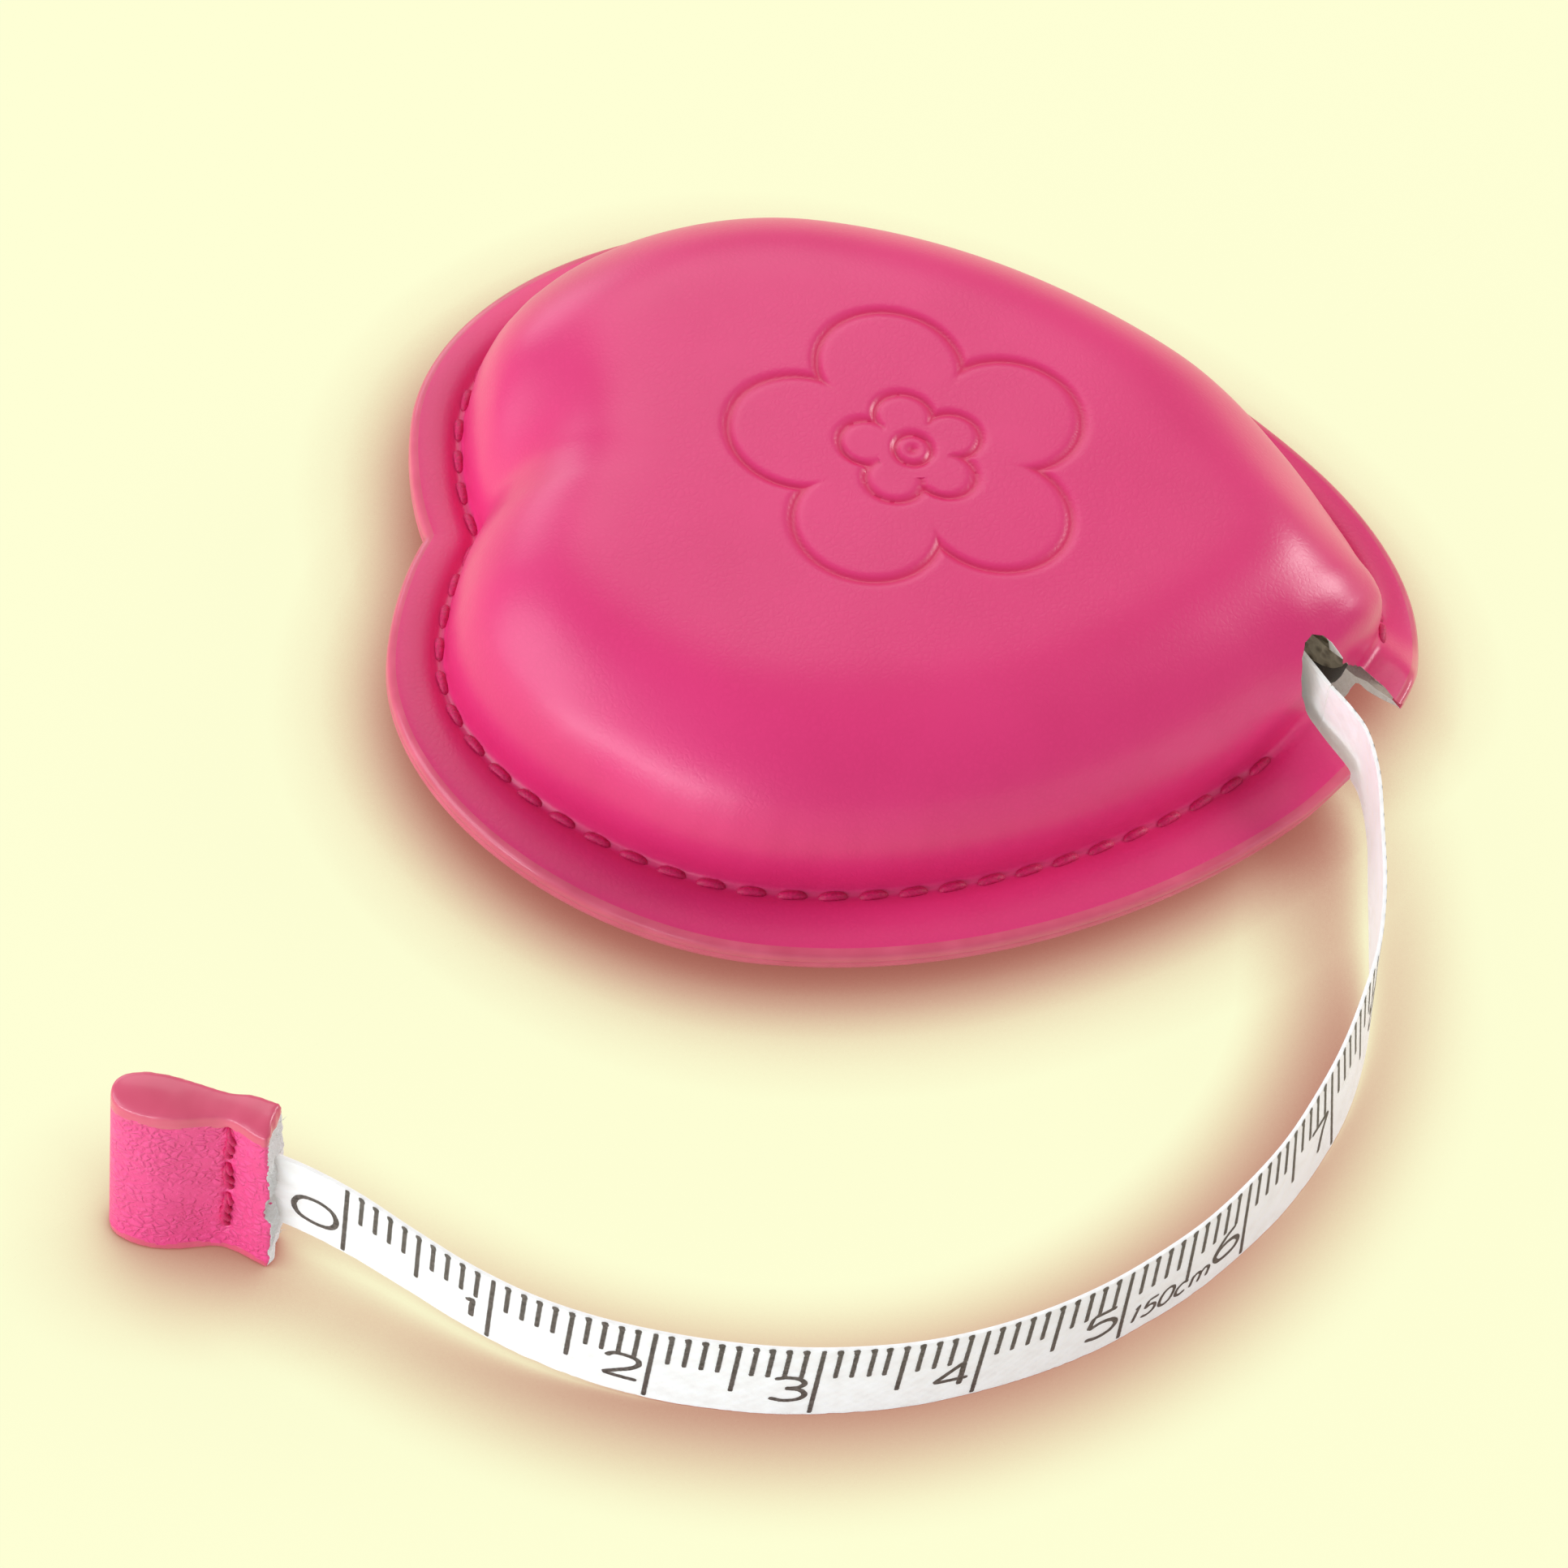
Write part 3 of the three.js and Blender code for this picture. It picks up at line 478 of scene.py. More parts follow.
def heart_ring(distance, count):
    """The outline moved in by a distance, rounded at the notch, from the tip anticlockwise."""
    _, inward = headings(UPPER)
    inward[0] = (-1, 0)
    turn = np.linspace(math.atan2(inward[-1, 1], inward[-1, 0]), 0, 24)[1:, None]
    arc = np.concatenate([np.cos(turn), np.sin(turn)], axis=1)
    line = np.concatenate([UPPER + inward * distance, UPPER[-1] + distance * arc])
    keep = np.r_[True, line[1:, 1] > 1e-9]
    keep[-1] = True
    half = spaced(line[keep], count // 2 + 1)
    ring = np.concatenate([half, half[-2:0:-1] * (1, -1)])
    # The seam lies further in on the near side than round the lobes, and further out at the tip
    turn = round_axis(ring)
    share = ease((turn - 8) / 50) * (1 - ease((turn - 225) / 90))
    share *= (1 - 1.3 * ease((turn - 160) / 20)) * ease((distance / MM - 0.8) / 2.2)
    off = ring - AXIS
    return ring - off / np.linalg.norm(off, axis=1)[:, None] * (1.3 * MM * share)[:, None]


def away_from(loop, points):
    """How far each point is from a closed loop."""
    flat = points.reshape(-1, 2)
    side = np.roll(loop, -1, axis=0) - loop
    least = np.full(len(flat), np.inf)
    for a, s in zip(loop, side):
        share = np.clip(((flat - a) @ s) / (s @ s), 0, 1)
        least = np.minimum(least, np.linalg.norm(flat - a - share[:, None] * s, axis=1))
    return least.reshape(points.shape[:-1])


def puff(share, exponent):
    return (1 - (1 - np.clip(share, 0, 1)) ** exponent) ** (1 / exponent)


def fullness(points):
    """The exponent of the crown's puffed section: the wall is steep, and leans round the tip."""
    turn = round_axis(points)
    return 2.26 - 0.8 * ease((turn - 170) / 16) * (1 - ease((turn - 190) / 30))


def at_height(ring, z):
    return np.concatenate([ring, np.full((len(ring), 1), z)], axis=1)


def towards_axis(ring, shares):
    return np.array([AXIS + (ring - AXIS) * share for share in shares])


# ---- The leather case ----

BLOSSOM = np.array([-1.77, 2.55]) * MM
STRETCH = np.array([1.035, 0.965])  # the leather was drawn lengthwise over its padding
PETALS = 5
PETAL_TURN = math.radians(103.5)
CROWN_FOOT, CROWN_RISE = SEAM_Z + HIDE, HEIGHT - SEAM_Z - HIDE


def bell(values, middle, width):
    """1 where the values meet the middle, falling away on both sides."""
    return np.exp(-((values - middle) / width) ** 2)


def blossom_line(points, reach, radius, width):
    """0 to 1 on the outer arcs of a ring of petals round the blossom's centre."""
    off = (points - BLOSSOM) / STRETCH
    angle = np.arctan2(off[..., 1], off[..., 0]) - PETAL_TURN
    step = 2 * math.pi / PETALS
    petal = np.round(angle / step) * step + PETAL_TURN
    centre = np.stack([np.cos(petal), np.sin(petal)], axis=-1) * reach * MM
    gap = np.abs(np.linalg.norm(off - centre, axis=-1) - radius * MM)
    gap = np.where(np.linalg.norm(off, axis=-1) > 0.85 * reach * MM, gap, 1)
    return bell(gap, 0, width * MM)


def pressed_lines(points):
    """0 to 1 where a plain five-petal blossom is pressed into the leather."""
    from_centre = np.linalg.norm(points - BLOSSOM, axis=-1)
    return np.maximum.reduce([
        blossom_line(points, 7.0, 4.65, 0.28),
        blossom_line(points, 2.8, 1.85, 0.25),
        bell(from_centre, 1.2 * MM, 0.24 * MM),
        0.8 * bell(from_centre, 0, 0.34 * MM),
    ])


def mouth_nearness(points):
    """1 at the mouth's sides, falling away from them along the seam."""
    off = (points - TANGENT) / MM
    along, aside = off @ HEADING, off @ OFFSIDE
    gap = np.maximum(np.maximum(-0.5 - aside, aside - 6.0), 0)
    return bell(gap, 0, 2.7) * np.clip((along - 14) / 5, 0, 1)


def flange_curl(points, inset):
    """The spout spreads the mouth, so that both plies of the flange curl up beside it, most at the
    outer corner on the far side."""
    far = ease((((points - TANGENT) @ OFFSIDE) / MM + 0.5) / 4)
    rise = 1.0 + far * (0.3 + 1.5 * np.clip(1 - inset / FLANGE, 0, 1))
    return rise * MM * mouth_nearness(points) * ease(1 - (inset - FLANGE) / (6 * MM))


def foot_fillet(points, inset):
    """Beside the mouth no stitch draws the upper leather down, and it leaves the flange curved."""
    return 1.25 * MM * mouth_nearness(points) * bell(inset, 3.7 * MM, 1.1 * MM)


def lobe_valley(flat):
    """The share of its height that the leather loses between the lobes: it dips steeply beside the
    near lobe and gently on the far one."""
    notch = heart_ring(FLANGE, 720)[360][0]
    inwards = np.clip((flat[..., 0] - notch) / MM, 0, None)
    aside = flat[..., 1] / MM - 0.5 * inwards - 0.9
    spread = np.where(aside < 0, 1.5 + 0.15 * inwards, 4.2 + 0.6 * inwards)
    return 0.17 * np.exp(-(inwards / 5.0) ** 2 - (aside / spread) ** 2)


def level_out(z, hold, times):
    """Evens a skin's heights, most where the padding holds it."""
    for _ in range(times):
        around = (np.roll(z, 1, axis=1) + np.roll(z, -1, axis=1)) / 2
        across = z.copy()
        across[1:-1] = (z[2:] + z[:-2]) / 2
        across[-1] = z[-1].mean()
        z += hold * 0.5 * ((around + across) / 2 - z)
    return z


def crown_skin(count):
    """Rings of the crown's outer skin, from its foot to the middle, and how far it is pressed."""
    foot = heart_ring(FLANGE, 720)
    near = [0, 0.0015, 0.006, 0.014, 0.026, 0.042, 0.062, 0.086, 0.115]
    rings = [heart_ring(FLANGE + share * SHOULDER, count) for share in near]
    far = np.r_[np.linspace(0.985, 0.55, 48), np.linspace(0.55, 0.03, 58)[1:]]
    flat = np.concatenate([rings, towards_axis(rings[-1], far)])
    depth = away_from(foot, flat)
    z = CROWN_FOOT + CROWN_RISE * puff(depth / SHOULDER, fullness(flat))
    hold = np.clip((depth / MM - 1.6) / 3.0, 0, 1)
    z = level_out(z, hold, 110)
    z -= lobe_valley(flat) * (z - CROWN_FOOT)
    z = level_out(z, hold, 30)
    # Slow unevenness of hand-filled padding
    x, y = flat[..., 0] / MM, flat[..., 1] / MM
    swell = np.sin(x / 5.1 + 0.8) * np.sin(y / 6.3 + 0.4) + 0.6 * np.sin(x / 3.2 - y / 4.1)
    z += 0.05 * MM * swell * np.clip(depth / SHOULDER, 0, 1)
    # Each stitch draws the wall in at its foot
    stitches = round(lengths_along(np.vstack([foot, foot[:1]]))[-1] / PITCH)
    phase = np.linspace(0, 2 * math.pi * stitches, count, endpoint=False)[None, :]
    z += 0.14 * MM * bell(depth, 0, 1.0 * MM) * (0.5 - 0.5 * np.cos(phase))
    z += flange_curl(flat, FLANGE + depth) + foot_fillet(flat, FLANGE + depth)
    marks = pressed_lines(flat)
    return np.dstack([flat, z - 0.2 * MM * marks]), marks


def flange_rings(count, top):
    """The flange from its mating face round the trimmed edge to the crown's foot. The ply is
    rounded by its edge paint and drawn down where the stitches lie."""
    section = [(d, 0) for d in (4.2, 3.6, 2.9, 2.2, 1.5, 0.8, 0.3)] + [
        (0.03, 0), (-0.01, 0.08), (-0.02, 0.4), (0.06, 0.66), (0.24, 0.83), (0.55, 0.92),
        (1.0, 0.97), (1.5, 0.98), (2.0, 0.96), (2.4, 0.9), (2.7, 0.78), (2.95, 0.62), (3.2, 0.56),
        (3.42, 0.66),
    ]
    sign = 1 if top else -1
    rings = []
    for inset, rise in section:
        ring = heart_ring(inset * MM, count)
        z = SEAM_Z + sign * rise * MM + flange_curl(ring, inset * MM)
        if top:
            z += foot_fillet(ring, inset * MM)
        rings.append(np.c_[ring, z])
    return rings


HEADING = np.array([0.6, -0.8])
OFFSIDE = np.array([0.8, 0.6])
RUN_OFFSET = 19.033 * MM  # from the reel's axis to the tape's straight run
TANGENT = AXIS + OFFSIDE * RUN_OFFSET
RUN_LENGTH = 24.3 * MM

# The mouth seen along the run: distance off the run and height, in millimetres
MOUTH = [
    (5.3, 1.2), (5.3, 6.0), (4.9, 6.8), (4.3, 7.5), (3.6, 8.2), (2.8, 9.0), (2.1, 9.9),
    (1.5, 10.8), (1.0, 11.7), (0.5, 12.6), (0.0, 13.15), (-0.8, 13.5), (-1.5, 13.3), (-2.0, 12.6),
    (-2.25, 11.3), (-2.1, 9.8), (-1.5, 8.3), (-0.85, 6.6), (-0.4, 5), (-0.36, 1.2),
]


def in_space(along, aside, z):
    """A point by its millimetres along the tape's straight run, off it and up."""
    return (*(TANGENT + HEADING * along * MM + OFFSIDE * aside * MM), z * MM)


def way_out(name, sections):
    """A tool that clears the way along the run, by its outline at places along it."""
    tool = wrap_grid(name, capped([
        [in_space(along, aside, z) for aside, z in outline] for along, outline in sections
    ]))
    tidy_mesh(tool)
    return tool


def mouth_cutter(reach):
    """The mouth widens outwards on its far side, to a reach of its full width."""
    tool = way_out("mouth_cutter", [
        (along, [(q * (wider * reach if q > 2 else 1), z) for q, z in MOUTH])
        for along, wider in ((17.5, 0.75), (36, 1.5))
    ])
    cover_with(tool, cut_edge)
    return tool


def set_finishes(obj, picks):
    """Gives each face its finish by number."""
    obj.data.polygons.foreach_set("material_index", np.asarray(picks, np.int32))
    obj.data.update()


def finish_cover(cover, rings, linings, top):
    """Leather outside, edge paint round the trimmed edge, and the flesh side within. The lining is
    the skin's first or last few rings."""
    within = np.zeros((len(rings), rings.shape[1] + 1))
    within[linings] = 1
    point_values(cover, within=within)
    tidy_mesh(cover)
    cover_with(cover, case_leather, edge_paint, flesh_side_painted_dark, cut_edge)
    centres = np.array([tuple(face.center) for face in cover.data.polygons])
    edge = away_from(np.concatenate([UPPER[::8], UPPER[::-8] * (1, -1)]), centres[:, :2])
    values = np.zeros(len(cover.data.vertices))
    cover.data.attributes["within"].data.foreach_get("value", values)
    lined = np.array([values[list(face.vertices)].min() for face in cover.data.polygons]) > 0.5
    mating = (1 if top else -1) * (centres[:, 2] - SEAM_Z) < 0.02 * MM
    painted = mating | (edge < PAINT_REACH)
    raw = mating & (edge > PLY_REACH)
    set_finishes(cover, np.where(lined, 2, np.where(raw, 3, painted)))
    cut(cover, mouth_cutter(1 if top else 0.9))
    smooth(cover, 50)
    if top:
        press_down(cover)
    wear(cover, "case", "pink_leather", "top_cover" if top else "bottom_cover")


def press_down(piece):
    """Gives the crown or the foam in it a mesh of its own."""
    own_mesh(piece)


def build_top_cover():
    count = 400
    outer, marks = crown_skin(count)
    inset = FLANGE + HIDE
    reach = SHOULDER - HIDE / 2
    lining = [heart_ring(inset + share * reach, count) for share in (0, 0.01, 0.04, 0.1)]
    inner = [0.97, 0.93, 0.87, 0.8, 0.72, 0.6, 0.4, 0.2, 0.05]
    lining = np.concatenate([lining, towards_axis(lining[-1], inner)])
    depth = away_from(heart_ring(inset, 360), lining)
    z = SEAM_Z + (HEIGHT - HIDE - 0.45 * MM - SEAM_Z) * puff(depth / reach, fullness(lining))
    z[0] = SEAM_Z
    z -= lobe_valley(lining) * (z - SEAM_Z)
    z += flange_curl(lining, inset + depth) + foot_fillet(lining, inset + depth)
    lining = np.dstack([lining, z])[::-1]
    rings = capped(np.concatenate([lining, flange_rings(count, True), outer]))
    cover = wrap_grid("heart_top", rings)
    pressed = np.zeros((len(rings), count + 1))
    pressed[-1 - len(marks):-1] = np.c_[marks, marks[:, :1]]
    point_values(cover, pressed=pressed)
    finish_cover(cover, rings, slice(0, 1 + len(lining)), True)


def build_bottom_cover():
    count = 300
    shares = np.array([1, 0.85, 0.7, 0.56, 0.43, 0.31, 0.21, 0.13, 0.07, 0.03, 0.008, 0])
    floor = SEAM_Z - HIDE
    belly = [
        at_height(heart_ring(FLANGE + s * BELLY, count), floor * (1 - puff(s, 2))) for s in shares
    ]
    middle = [at_height(r, 0) for r in towards_axis(belly[0][:, :2], [0.03, 0.3, 0.6, 0.85, 0.97])]
    inset, reach = FLANGE + HIDE, BELLY - HIDE / 2
    lining = [
        at_height(heart_ring(inset + s * reach, count), SEAM_Z - floor * puff(s, 2))
        for s in (0, 0.02, 0.08, 0.2, 0.4, 0.7, 1)
    ]
    lining += [at_height(ring, HIDE) for ring in towards_axis(lining[-1][:, :2], [0.6, 0.1])]
    for ring in belly + lining:
        ring[:, 2] += flange_curl(ring[:, :2], FLANGE) * (ring[:, 2] / SEAM_Z) ** 2
    flange = flange_rings(count, False)[::-1]
    rings = capped(np.concatenate([middle, belly, flange, lining]))
    cover = wrap_grid("heart_bottom", rings)
    point_values(cover, pressed=np.zeros(len(cover.data.vertices)))
    finish_cover(cover, rings, slice(-1 - len(lining), None), False)


# ---- Seam stitches ----

def one_stitch(length, radius):
    """A stitch along X: a short round bar, thinned and sunk at both ends, with a twist in it."""
    stitch = primitive(
        bpy.ops.mesh.primitive_cylinder_add, vertices=8, radius=radius, depth=length,
        rotation=(0, math.pi / 2, 0),
    )
    settle(stitch)
    with editing(stitch):
        for share in (-0.36, -0.2, 0, 0.2, 0.36):
            bpy.ops.mesh.select_all(action="SELECT")
            bpy.ops.mesh.bisect(plane_co=(share * length, 0, 0), plane_no=(1, 0, 0))
    for vertex in stitch.data.vertices:
        x, y, z = vertex.co
        share = abs(2 * x / length)
        taper = 1 - 0.5 * share ** 4
        twist = 0.55 * math.pi * x / length
        cos, sin = math.cos(twist), math.sin(twist)
        y, z = y * cos - z * sin, y * sin + z * cos
        vertex.co = (x, y * taper * 1.05, z * taper * 0.8 - radius * 1.1 * share ** 3)
    return stitch


def build_seam_thread(top):
    """The row of lockstitches round the foot of the crown, which stops each side of the mouth."""
    sign = 1 if top else -1
    line = heart_ring(SEAM_INSET, 720)
    line = np.vstack([line, line[:1]])
    around = lengths_along(line)
    count = round(around[-1] / PITCH)
    model = one_stitch(PITCH * 0.82, 0.31 * MM)
    stitches = []
    for i in range(count):
        # A half stitch on, so that the needle holes fall where the wall is drawn in
        at = (i + 0.5) / count * around[-1]
        spot, ahead = (
            np.array([np.interp(min(s, around[-1]), around, line[:, k]) for k in (0, 1)])
            for s in (at, at + 0.4 * MM)
        )
        along, aside = (spot - TANGENT) @ HEADING / MM, (spot - TANGENT) @ OFFSIDE / MM
        if along > 15 and -4.4 < aside < 6.5:
            continue  # the mouth
        z = SEAM_Z + sign * 0.7 * MM + flange_curl(spot, SEAM_INSET)
        if top:
            z += foot_fillet(spot, SEAM_INSET)
        stitch = model.copy()
        stitch.data = model.data.copy()
        bpy.context.collection.objects.link(stitch)
        turn = math.atan2(*(ahead - spot)[::-1]) + sign * math.radians(5)
        flip = Matrix.Rotation(0 if top else math.pi, 4, "X")
        stitch.matrix_world = Matrix.Translation((*spot, z)) @ Matrix.Rotation(turn, 4, "Z") @ flip
        stitches.append(stitch)
    bpy.data.objects.remove(model, do_unlink=True)
    for stitch in stitches:
        settle(stitch)
    row = join("needle_stitches" if top else "bobbin_stitches", stitches, thread)
    smooth(row)
    wear(row, "case", "seam_thread", "needle_thread" if top else "bobbin_thread")


# ---- Foam padding ----

def room_cutter(top):
    """The case, its spout and the way out for the tape, which the foam leaves free."""
    rods = [
        primitive(
            bpy.ops.mesh.primitive_cylinder_add, vertices=vertices, radius=radius * MM,
            depth=depth * MM, location=(*AXIS, middle * MM),
        )
        for vertices, radius, depth, middle in ((96, 21.0, 23.8, 1.9), (64, 7.2, 40, 0))[:1 + top]
    ]
    for rod in rods:
        settle(rod)
    room = rods[0]
    cut(room, way_out("way_out", [
        (along, [(low, 1.4), (high, 1.4), (high, ceiling), (low, ceiling)])
        for along, low, high, ceiling in ((1, -2.2, 2.2, 12.5), (40, -6, 9, 15))
    ]), "UNION")
    for hole in rods[1:]:
        cut(room, hole, "UNION")
    return room


def build_padding(top):
    count = 180
    inset = FLANGE + HIDE + 0.3 * MM
    reach = BELLY - HIDE / 2
    if top:
        base = 4.6 * MM
        foot = heart_ring(inset, count)
        near = [heart_ring(inset + s * SHOULDER, count) for s in (0, 0.01, 0.04, 0.09, 0.14)]
        flat = np.concatenate([near, towards_axis(near[-1], np.linspace(0.97, 0.05, 24))])
        rise = puff(away_from(foot, flat) / (SHOULDER - HIDE / 2), fullness(flat))
        z = base + (14.95 * MM - base) * rise * (1 - 1.15 * lobe_valley(flat))
        rings = [at_height(ring, base) for ring in towards_axis(foot, [0.001, 0.5])]
        rings = np.concatenate([rings, np.dstack([flat, z])])
    else:
        skin = [
            at_height(heart_ring(inset + s * reach, count), (4.0 - 2.8 * puff(s, 2)) * MM)
            for s in (1, 0.75, 0.5, 0.3, 0.15, 0.05, 0)
        ]
        low, high = skin[0], skin[-1]
        rings = [at_height(r, 1.2 * MM) for r in towards_axis(low[:, :2], [0.001, 0.5])] + skin
        rings += [at_height(r, 4.0 * MM) for r in towards_axis(high[:, :2], [0.5, 0.001])]
    pad = wrap_grid("crown_foam" if top else "belly_foam", capped(rings))
    tidy_mesh(pad)
    cut(pad, room_cutter(top))
    cover_with(pad, foam)
    smooth(pad, 40)
    if top:
        press_down(pad)
    wear(pad, "case", "foam", "top_padding" if top else "bottom_padding")



# ---- The tape ----

TAPE_WIDTH, TAPE_THICK = 7.9 * MM, 0.24 * MM
EXIT = (*(TANGENT + HEADING * (RUN_LENGTH + 0.3 * MM)), 6.95 * MM)
# The free run's middle line from the mouth to the tab, in metres, and the lean in degrees
ROUTE = [
    (0.0283, -0.0097, 0.00692, 10), (0.0294, -0.0114, 0.00685, 10),
    (0.0301, -0.0144, 0.00658, 8.5), (0.0303, -0.0185, 0.00605, 7), (0.0304, -0.0226, 0.0055, 6.5),
    (0.0302, -0.0266, 0.00495, 8.8), (0.0294, -0.0304, 0.0045, 12.3),
    (0.02815, -0.0341, 0.00415, 13.7), (0.0264, -0.0376, 0.00399, 13),
    (0.0243, -0.041, 0.00397, 11.1), (0.0218, -0.0441, 0.00397, 9),
    (0.01905, -0.047, 0.00397, 7.4), (0.016, -0.04955, 0.00397, 6.1),
    (0.01275, -0.05185, 0.00397, 4.9), (0.00925, -0.0538, 0.00397, 3.6),
    (0.0056, -0.0554, 0.00397, 2.7), (0.0018, -0.05665, 0.00397, 2.5),
    (-0.0021, -0.05745, 0.00397, 2.7), (-0.0061, -0.0579, 0.00397, 3),
    (-0.0101, -0.05795, 0.004, 3), (-0.014, -0.0577, 0.00415, 2.5), (-0.018, -0.0571, 0.0044, 0.9),
    (-0.0218, -0.05615, 0.0048, -0.7), (-0.0255, -0.05475, 0.0053, -1.6),
    (-0.029, -0.0531, 0.0059, -1.5), (-0.0326, -0.0514, 0.00655, -0.3),
    (-0.0362, -0.0501, 0.0071, 0), (-0.0386, -0.04945, 0.0071, 0), (-0.0422, -0.0492, 0.0071, 0),
]


def blend(t, start, end, first, last):
    """Goes from the first value to the last as t goes from start to end."""
    return (end - t) / (end - start) * first + (t - start) / (end - start) * last


def centripetal(points, steps):
    """A smooth line through points, with so many steps between each pair."""
    points = np.asarray(points, float)
    ends = np.vstack([2 * points[0] - points[1], points, 2 * points[-1] - points[-2]])
    out = []
    for i in range(1, len(ends) - 2):
        p = ends[i - 1:i + 3]
        gap = np.sqrt(np.linalg.norm(np.diff(p[:, :3], axis=0), axis=1))
        knots = np.r_[0, np.cumsum(gap)]
        t = np.linspace(knots[1], knots[2], steps, endpoint=False)[:, None]
        lines = [blend(t, knots[k], knots[k + 1], p[k], p[k + 1]) for k in range(3)]
        arcs = [blend(t, knots[k], knots[k + 2], lines[k], lines[k + 1]) for k in range(2)]
        out.append(blend(t, knots[1], knots[2], *arcs))
    return np.vstack(out + [ends[-2:-1]])


class TapeLine:
    """The middle line of a run of tape, and the frame that its face and edges follow."""

    def __init__(self, points):
        self.points = spaced(np.asarray(points, float), 600, 3)
        self.length = lengths_along(self.points[:, :3])[-1]

    def frame(self, along):
        share = np.clip(along / self.length, 0, 1) * (len(self.points) - 1)

        def at(share, columns):
            index = np.arange(len(self.points))
            values = [np.interp(share, index, self.points[:, k]) for k in range(columns)]
            return np.stack(values, axis=-1)

        spot = at(share, 4)
        ahead = at(share + 1.5, 2) - at(share - 1.5, 2)
        ahead /= np.linalg.norm(ahead, axis=-1, keepdims=True)
        cos, sin = (wave(np.radians(spot[..., 3:])) for wave in (np.cos, np.sin))
        outer = np.concatenate([-ahead[..., 1:], ahead[..., :1], 0 * cos], axis=-1)
        rise = np.array([0, 0, 1.0])
        return spot[..., :3], outer * cos + rise * sin, rise * cos - outer * sin

    def place(self, along, across, out):
        """A point so far along the run, up its width from the middle, and out from its middle."""
        spot, face, up = self.frame(np.asarray(along, float))
        return spot + face * np.asarray(out)[..., None] + up * np.asarray(across)[..., None]


# The scale's zero lies this far before the end of the tape
ZERO_FROM_END = 9.6 * MM
free_line = TapeLine(centripetal([(*EXIT, 9), *ROUTE], 12))
inner_line = TapeLine([
    (*in_space(0.3, 0, 6.95), 0), (*in_space(RUN_LENGTH / MM + 0.26, 0, 6.95), 9),
])


def strip(name, line, steps, ragged):
    """A strip of tape: flat faces and thin rounded edges, the lower one ragged from slitting."""
    half, thick, edge = TAPE_WIDTH / 2, TAPE_THICK / 2, TAPE_WIDTH / 2 + 0.02 * MM
    rows = np.linspace(-1, 1, 9) * half
    section = [(row, thick) for row in rows] + [(edge, 0.0)]
    section += [(row, -thick) for row in rows[::-1]] + [(-edge, 0.0)]
    up, out = np.array(section).T
    along = np.linspace(0, line.length, steps)
    chance = np.random.default_rng(7)
    rough = sum(
        np.interp(along, np.linspace(0, line.length, count), chance.normal(0, 1, count)) * ragged
        for count in (260, 40)
    )
    tape = wrap_grid(name, capped([
        line.place(np.full(len(up), s), up + np.where(up < -half * 0.99, abs(slit), 0), out)
        for s, slit in zip(along, rough)
    ]))
    spans = np.r_[0, along, line.length] / MM
    columns = np.r_[up, up[:1]] / MM
    finish_tape(tape, np.repeat(spans, len(columns)), np.tile(columns, len(spans)))
    return tape


def finish_tape(tape, along, across, merge=0.0008 * MM):
    """Tells the weave where each point lies on the tape, in millimetres, and closes the skin."""
    point_values(tape, along=along, across=across)
    tidy_mesh(tape, merge)
    cover_with(tape, vinyl)
    smooth(tape)


# The strokes of each figure: x and y of the points in turn, in hundredths of its width and height
FIGURES = {
    "0": "50 100 14 88 0 50 14 12 50 0 86 12 100 50 86 88 50 100",
    "1": "30 84 46 88 60 100 60 50 60 0",
    "2": "3 80 20 97 55 100 90 90 97 72 80 50 40 27 2 4, 2 4 50 2 100 2",
    "3": "8 92 40 100 80 93 93 77 80 60 42 54, 42 54 85 47 100 27 85 8 45 0 3 9",
    "4": "78 0 78 50 78 100, 78 100 40 66 0 28, 0 28 50 28 100 28",
    "5": "93 98 50 98 16 98, 16 98 10 75 6 52, 6 52 45 62 86 52 100 30 84 8 45 0 2 8",
    "6": "80 98 42 80 10 48 2 24 20 3 52 0 88 7 100 28 84 48 50 54 18 46 3 28",
    "7": "0 98 50 98 100 98, 100 98 66 60 38 0",
    "8": "50 100 16 92 10 74 50 54 93 36 96 12 50 0 4 12 7 36 50 54 90 74 84 92 50 100",
    "9": "20 2 58 20 90 52 98 76 80 97 48 100 12 93 0 72 16 52 50 46 82 54 97 72",
    "c": "90 52 50 62 10 50 0 30 12 8 50 0 88 8",
    "m": "0 0 0 30 0 60, 0 42 22 60 46 48 48 0, 48 42 72 60 98 48 100 0",
}


def stroke_line(points, step=0.12 * MM):
    """A smooth line through a stroke's points. It is a closed loop where it ends at its start."""
    loop = points[0] == points[-1]
    drawn = [points[-2], *points, points[1]] if loop else points
    line = centripetal([(x, y, 0) for x, y in drawn], 10)[:, :2]
    if loop:
        line = line[10:-10]
    return spaced(line, max(4, int(lengths_along(line)[-1] / step)))


def ribbon(points, width, wobble, chance):
    """The two sides of a flat stroke along a line, a little uneven as printed edges are."""
    loop = np.linalg.norm(points[0] - points[-1]) < 0.01 * MM
    _, aside = headings(points, loop)
    half = width / 2 + chance.uniform(-wobble, wobble, (2, len(points)))
    if loop:
        half[:, -1] = half[:, 0]
    else:
        half[:, [0, -1]] *= 0.55
    return np.array([points + aside * half[0][:, None], points - aside * half[1][:, None]])


def figure(mark, left, foot, wide, tall, width, wobble, chance, slant=0):
    """One figure's strokes, from its left foot, with the weight and the unevenness of its line."""
    strokes = []
    for stroke in FIGURES[mark].split(","):
        numbers = [int(n) / 100 for n in stroke.split()]
        shape = [
            (left + x * wide + y * tall * slant, foot + y * tall)
            for x, y in zip(numbers[::2], numbers[1::2])
        ]
        strokes.append(ribbon(stroke_line(shape), width, wobble, chance))
    return strokes


